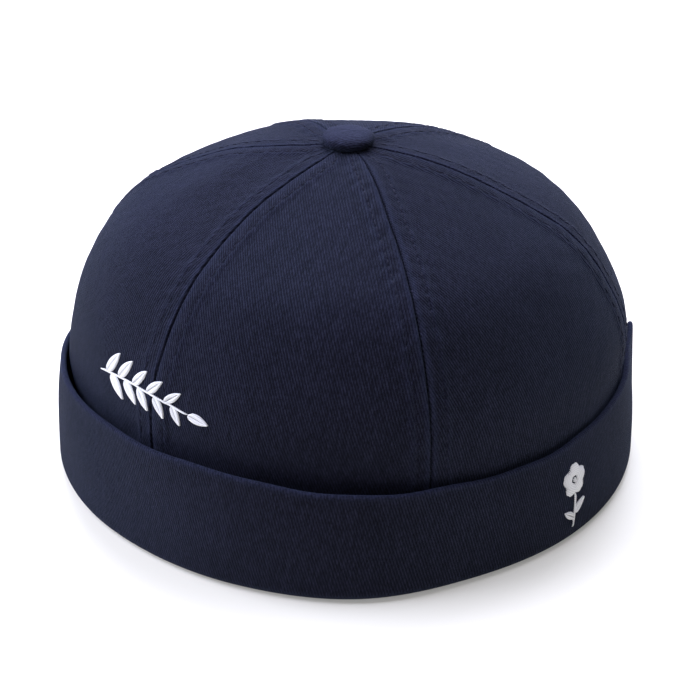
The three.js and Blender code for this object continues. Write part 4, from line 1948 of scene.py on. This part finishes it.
@dataclass(frozen=True)
class Blossom:
    """A small flower on a stem with two leaves."""

    spacing: float = 0.34 * MM  # distance between strands
    up: float = 5.2 * MM  # height of the flower's middle above the design's middle
    petals: int = 5  # number of petals
    first_heading: float = 90.0  # direction of the first petal, in degrees from the right
    petal_inner: float = 1.3 * MM  # distance of a petal's foot from the flower's middle
    petal_outer: float = 5.9 * MM  # distance of its tip
    petal_width: float = 5.0 * MM  # greatest width of a petal
    knot_radius: float = 0.8 * MM  # radius of the knot in the flower's middle
    knot_points: int = 7  # strands of the knot
    knot_skip: int = 3  # points of the knot that a strand passes
    stem_top: float = 0.8 * MM  # height of the stem's top
    stem_length: float = 12.6 * MM  # how far the stem runs down
    stem_bend: float = 1.4 * MM  # how far its foot lies to the left
    stem_points: int = 40  # points along the stem
    stitch: float = 2.6 * MM  # length of a stem stitch
    step: float = 0.7 * MM  # distance from one stem stitch to the next
    # The leaves on the stem.
    leaves: tuple[Leaf, ...] = (
        Leaf(across=-0.3 * MM, up=-6.6 * MM, heading=38.0, length=6.2 * MM, width=2.6 * MM),
        Leaf(across=-0.5 * MM, up=-8.2 * MM, heading=146.0, length=5.6 * MM, width=2.4 * MM),
    )

    def strands(self) -> Array:
        """Two ends of each strand."""
        headings = self.first_heading + FULL_TURN / self.petals * np.arange(self.petals)
        petals = [
            Petal(0.0, self.up, heading, self.petal_inner, self.petal_outer, self.petal_width)
            for heading in headings
        ]
        turn = np.linspace(0.0, TAU, self.knot_points, endpoint=False)[:, None]
        ring = np.hstack([np.cos(turn), np.sin(turn)]) * self.knot_radius + np.array([0.0, self.up])
        knot = np.stack([ring, np.roll(ring, -self.knot_skip, axis=0)], axis=1)
        share = np.linspace(0.0, 1.0, self.stem_points)
        line = np.stack([-self.stem_bend * share**2, self.stem_top - self.stem_length * share], axis=-1)
        return np.concatenate([
            *(petal.strands(self.spacing) for petal in petals),
            knot,
            stem_strands(line, self.stitch, self.step),
            *(leaf.strands(self.spacing) for leaf in self.leaves),
        ])


@dataclass(frozen=True)
class SoftBox:
    """One large soft light, placed as the camera sees it."""

    name: str  # name of the light
    right: float  # distance to the right of the cap
    away: float  # distance behind it
    up: float  # height
    side: float  # length of its sides
    watts: float  # power


@dataclass
class Studio:
    """Floor, lights and camera."""

    axis: Vector  # foot of the cap's axis
    azimuth: float = 42.0  # angle of the camera round the cap, in degrees
    elevation: float = 28.22  # angle of the camera above the floor, in degrees
    distance: float = 744.76 * MM  # distance of the camera from what it looks at
    focal_pixels: float = 2185.6  # focal length in pixels of the image
    image_side: float = 700.0  # side of the image in pixels
    sensor: float = 36.0  # width of the camera's sensor in millimetres
    aim_right: float = 0.59 * MM  # how far to the right of the axis the camera looks
    aim_up: float = 34.12 * MM  # height that the camera looks at
    near_clip: float = 10.0 * MM  # nearest distance that the camera shows
    floor_side: float = 12.0  # side of the floor
    floor_colour: Colour = (0.68, 0.655, 0.55, 1.0)  # colour of the floor
    floor_roughness: float = 0.95  # roughness of the floor
    floor_gloss: float = 0.1  # strength of its plain reflection
    floor_glow: float = 0.21  # strength of the light that comes through the floor
    glow_colour: Colour = (1.0, 1.0, 1.0, 1.0)  # colour of that light
    sky: float = 0.19  # strength of the even light from all round
    sky_colour: Colour = (1.0, 0.91, 0.82, 1.0)  # colour of the even light
    lamp_colour: tuple[float, float, float] = (0.96, 1.01, 1.32)  # colour of the soft boxes
    # The soft boxes.
    lights: tuple[SoftBox, ...] = (
        SoftBox(name="back_box", right=0.0, away=0.90, up=1.04, side=0.9, watts=29.0),
        SoftBox(name="left_box", right=-1.00, away=0.05, up=0.94, side=0.9, watts=23.0),
        SoftBox(name="top_box", right=0.40, away=0.23, up=1.30, side=0.9, watts=10.2),
        SoftBox(name="right_box", right=0.55, away=1.20, up=0.35, side=0.6, watts=6.0),
        SoftBox(name="front_box", right=-0.72, away=-1.00, up=0.50, side=0.9, watts=3.4),
    )

    def build(self) -> None:
        """Makes the floor, the lights and the camera."""
        turn = math.radians(self.azimuth)
        tilt = math.radians(self.elevation)
        right = Vector((math.cos(turn), math.sin(turn), 0.0))
        away = Vector((-math.sin(turn), math.cos(turn), 0.0))
        aim = self.axis + right * self.aim_right + Vector((0.0, 0.0, self.aim_up))
        self._floor()
        self._sky()
        for box in self.lights:
            place = self.axis + right * box.right + away * box.away + Vector((0.0, 0.0, box.up))
            self._soft_box(box, place, aim)
        self._camera(aim, -away * math.cos(tilt) + Vector((0.0, 0.0, math.sin(tilt))))

    def _floor(self) -> None:
        """Makes the plain pale floor."""
        half = self.floor_side / 2.0
        corners = [(-half, -half, 0.0), (half, -half, 0.0), (half, half, 0.0), (-half, half, 0.0)]
        mesh = bpy.data.meshes.new("studio_floor")
        mesh.from_pydata(corners, [], [(0, 1, 2, 3)])
        material, bench, shader = new_material("studio_floor_paper")
        bench.fill(shader, {
            "Base Color": self.floor_colour,
            "Roughness": self.floor_roughness,
            "Specular IOR Level": self.floor_gloss,
            "Emission Color": self.glow_colour,
            "Emission Strength": self.floor_glow,
        })
        mesh.materials.append(material)
        floor = place_object("studio_floor", mesh)

    def _sky(self) -> None:
        """Makes the even light from all round, and shows colours as they are."""
        world = bpy.data.worlds.new("studio_air")
        world.use_nodes = True
        background = world.node_tree.nodes["Background"]
        background.inputs["Color"].default_value = self.sky_colour
        background.inputs["Strength"].default_value = self.sky
        bpy.context.scene.world = world
        bpy.context.scene.view_settings.view_transform = "Standard"

    def _soft_box(self, box: SoftBox, place: Vector, aim: Vector) -> None:
        """Makes one soft light.

        Args:
            box: its size and power.
            place: where it hangs.
            aim: where it points.
        """
        data = bpy.data.lights.new(box.name, "AREA")
        data.shape = "SQUARE"
        data.size = box.side
        data.energy = box.watts
        data.color = self.lamp_colour
        light = place_object(box.name, data)
        light.location = place
        light.rotation_euler = (place - aim).to_track_quat("Z", "Y").to_euler()

    def _camera(self, aim: Vector, back: Vector) -> None:
        """Makes the camera.

        Args:
            aim: where it looks.
            back: direction from there to the camera.
        """
        data = bpy.data.cameras.new("photo_camera")
        data.sensor_width = self.sensor
        data.lens = self.focal_pixels / self.image_side * self.sensor
        data.clip_start = self.near_clip
        camera = place_object("photo_camera", data)
        camera.location = aim + back * self.distance
        camera.rotation_euler = back.to_track_quat("Z", "Y").to_euler()
        bpy.context.scene.camera = camera


def main() -> None:
    """Builds the cap and its studio."""
    logging.basicConfig(level=logging.INFO, format="%(message)s")
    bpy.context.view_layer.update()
    low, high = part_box("top_button")
    axis = Vector(((low[0] + high[0]) / 2.0, (low[1] + high[1]) / 2.0, 0.0))

    crown_twill = TwillFinish(name="crown_twill_cloth", slot=Slot.CROWN)
    cuff_twill = TwillFinish(
        name="cuff_twill_cloth",
        slot=Slot.CUFF,
        yarn_pitch=0.255 * MM,
        pick_pitch=0.486 * MM,
        grain_degrees=12.0,
    )
    button_twill = TwillFinish(
        name="button_twill_cloth",
        slot=Slot.BUTTON,
        colour=(0.0145, 0.0156, 0.0300, 1.0),
        # painted shade in the dips, and a paler colour for the painted highlight on the top, with wearing
        dip_shade_colour=(0.0060, 0.0065, 0.0125, 1.0),
        wear_and_highlight_colour=(0.027, 0.029, 0.050, 1.0),
        yarn_pitch=0.23 * MM,
        pick_pitch=0.40 * MM,
        grain_degrees=64.0,
        relief_strength=0.6,
    )
    sewing_thread = ThreadFinish(
        name="navy_sewing_thread",
        slot=Slot.SEWING_THREAD,
        colour=(0.0145, 0.0155, 0.0290, 1.0),
        # painted shade in the grooves between the plies
        groove_shade_colour=(0.005, 0.006, 0.011, 1.0),
        gloss=0.06,
        roughness_low=0.6,
        sheen=0.0,
    )
    embroidery_thread = ThreadFinish(
        name="white_embroidery_thread",
        slot=Slot.EMBROIDERY_THREAD,
        colour=(0.78, 0.78, 0.76, 1.0),
        # painted shade in the grooves between the plies
        groove_shade_colour=(0.50, 0.50, 0.50, 1.0),
        gloss=0.5,
        roughness_low=0.38,
        roughness_high=0.6,
    )

    shape = CrownShape(axis)
    panels = CrownPanels(shape, crown_twill)
    panels.build()
    Topstitching(panels=panels, finish=sewing_thread).build()
    cuff = Cuff(axis, cuff_twill)
    cuff.build()
    TopButton(axis, button_twill).build()
    Embroidery(
        name="sprig_embroidery",
        ground=shape,
        angle=math.radians(-2.0),
        height=55.0 * MM,
        finish=embroidery_thread,
        strands=Sprig().strands(),
    ).build()
    Embroidery(
        name="blossom_embroidery",
        ground=cuff,
        angle=math.radians(90.0),
        height=17.0 * MM,
        finish=embroidery_thread,
        strands=Blossom().strands(),
    ).build()
    Studio(axis).build()


if __name__ == "__main__":
    main()
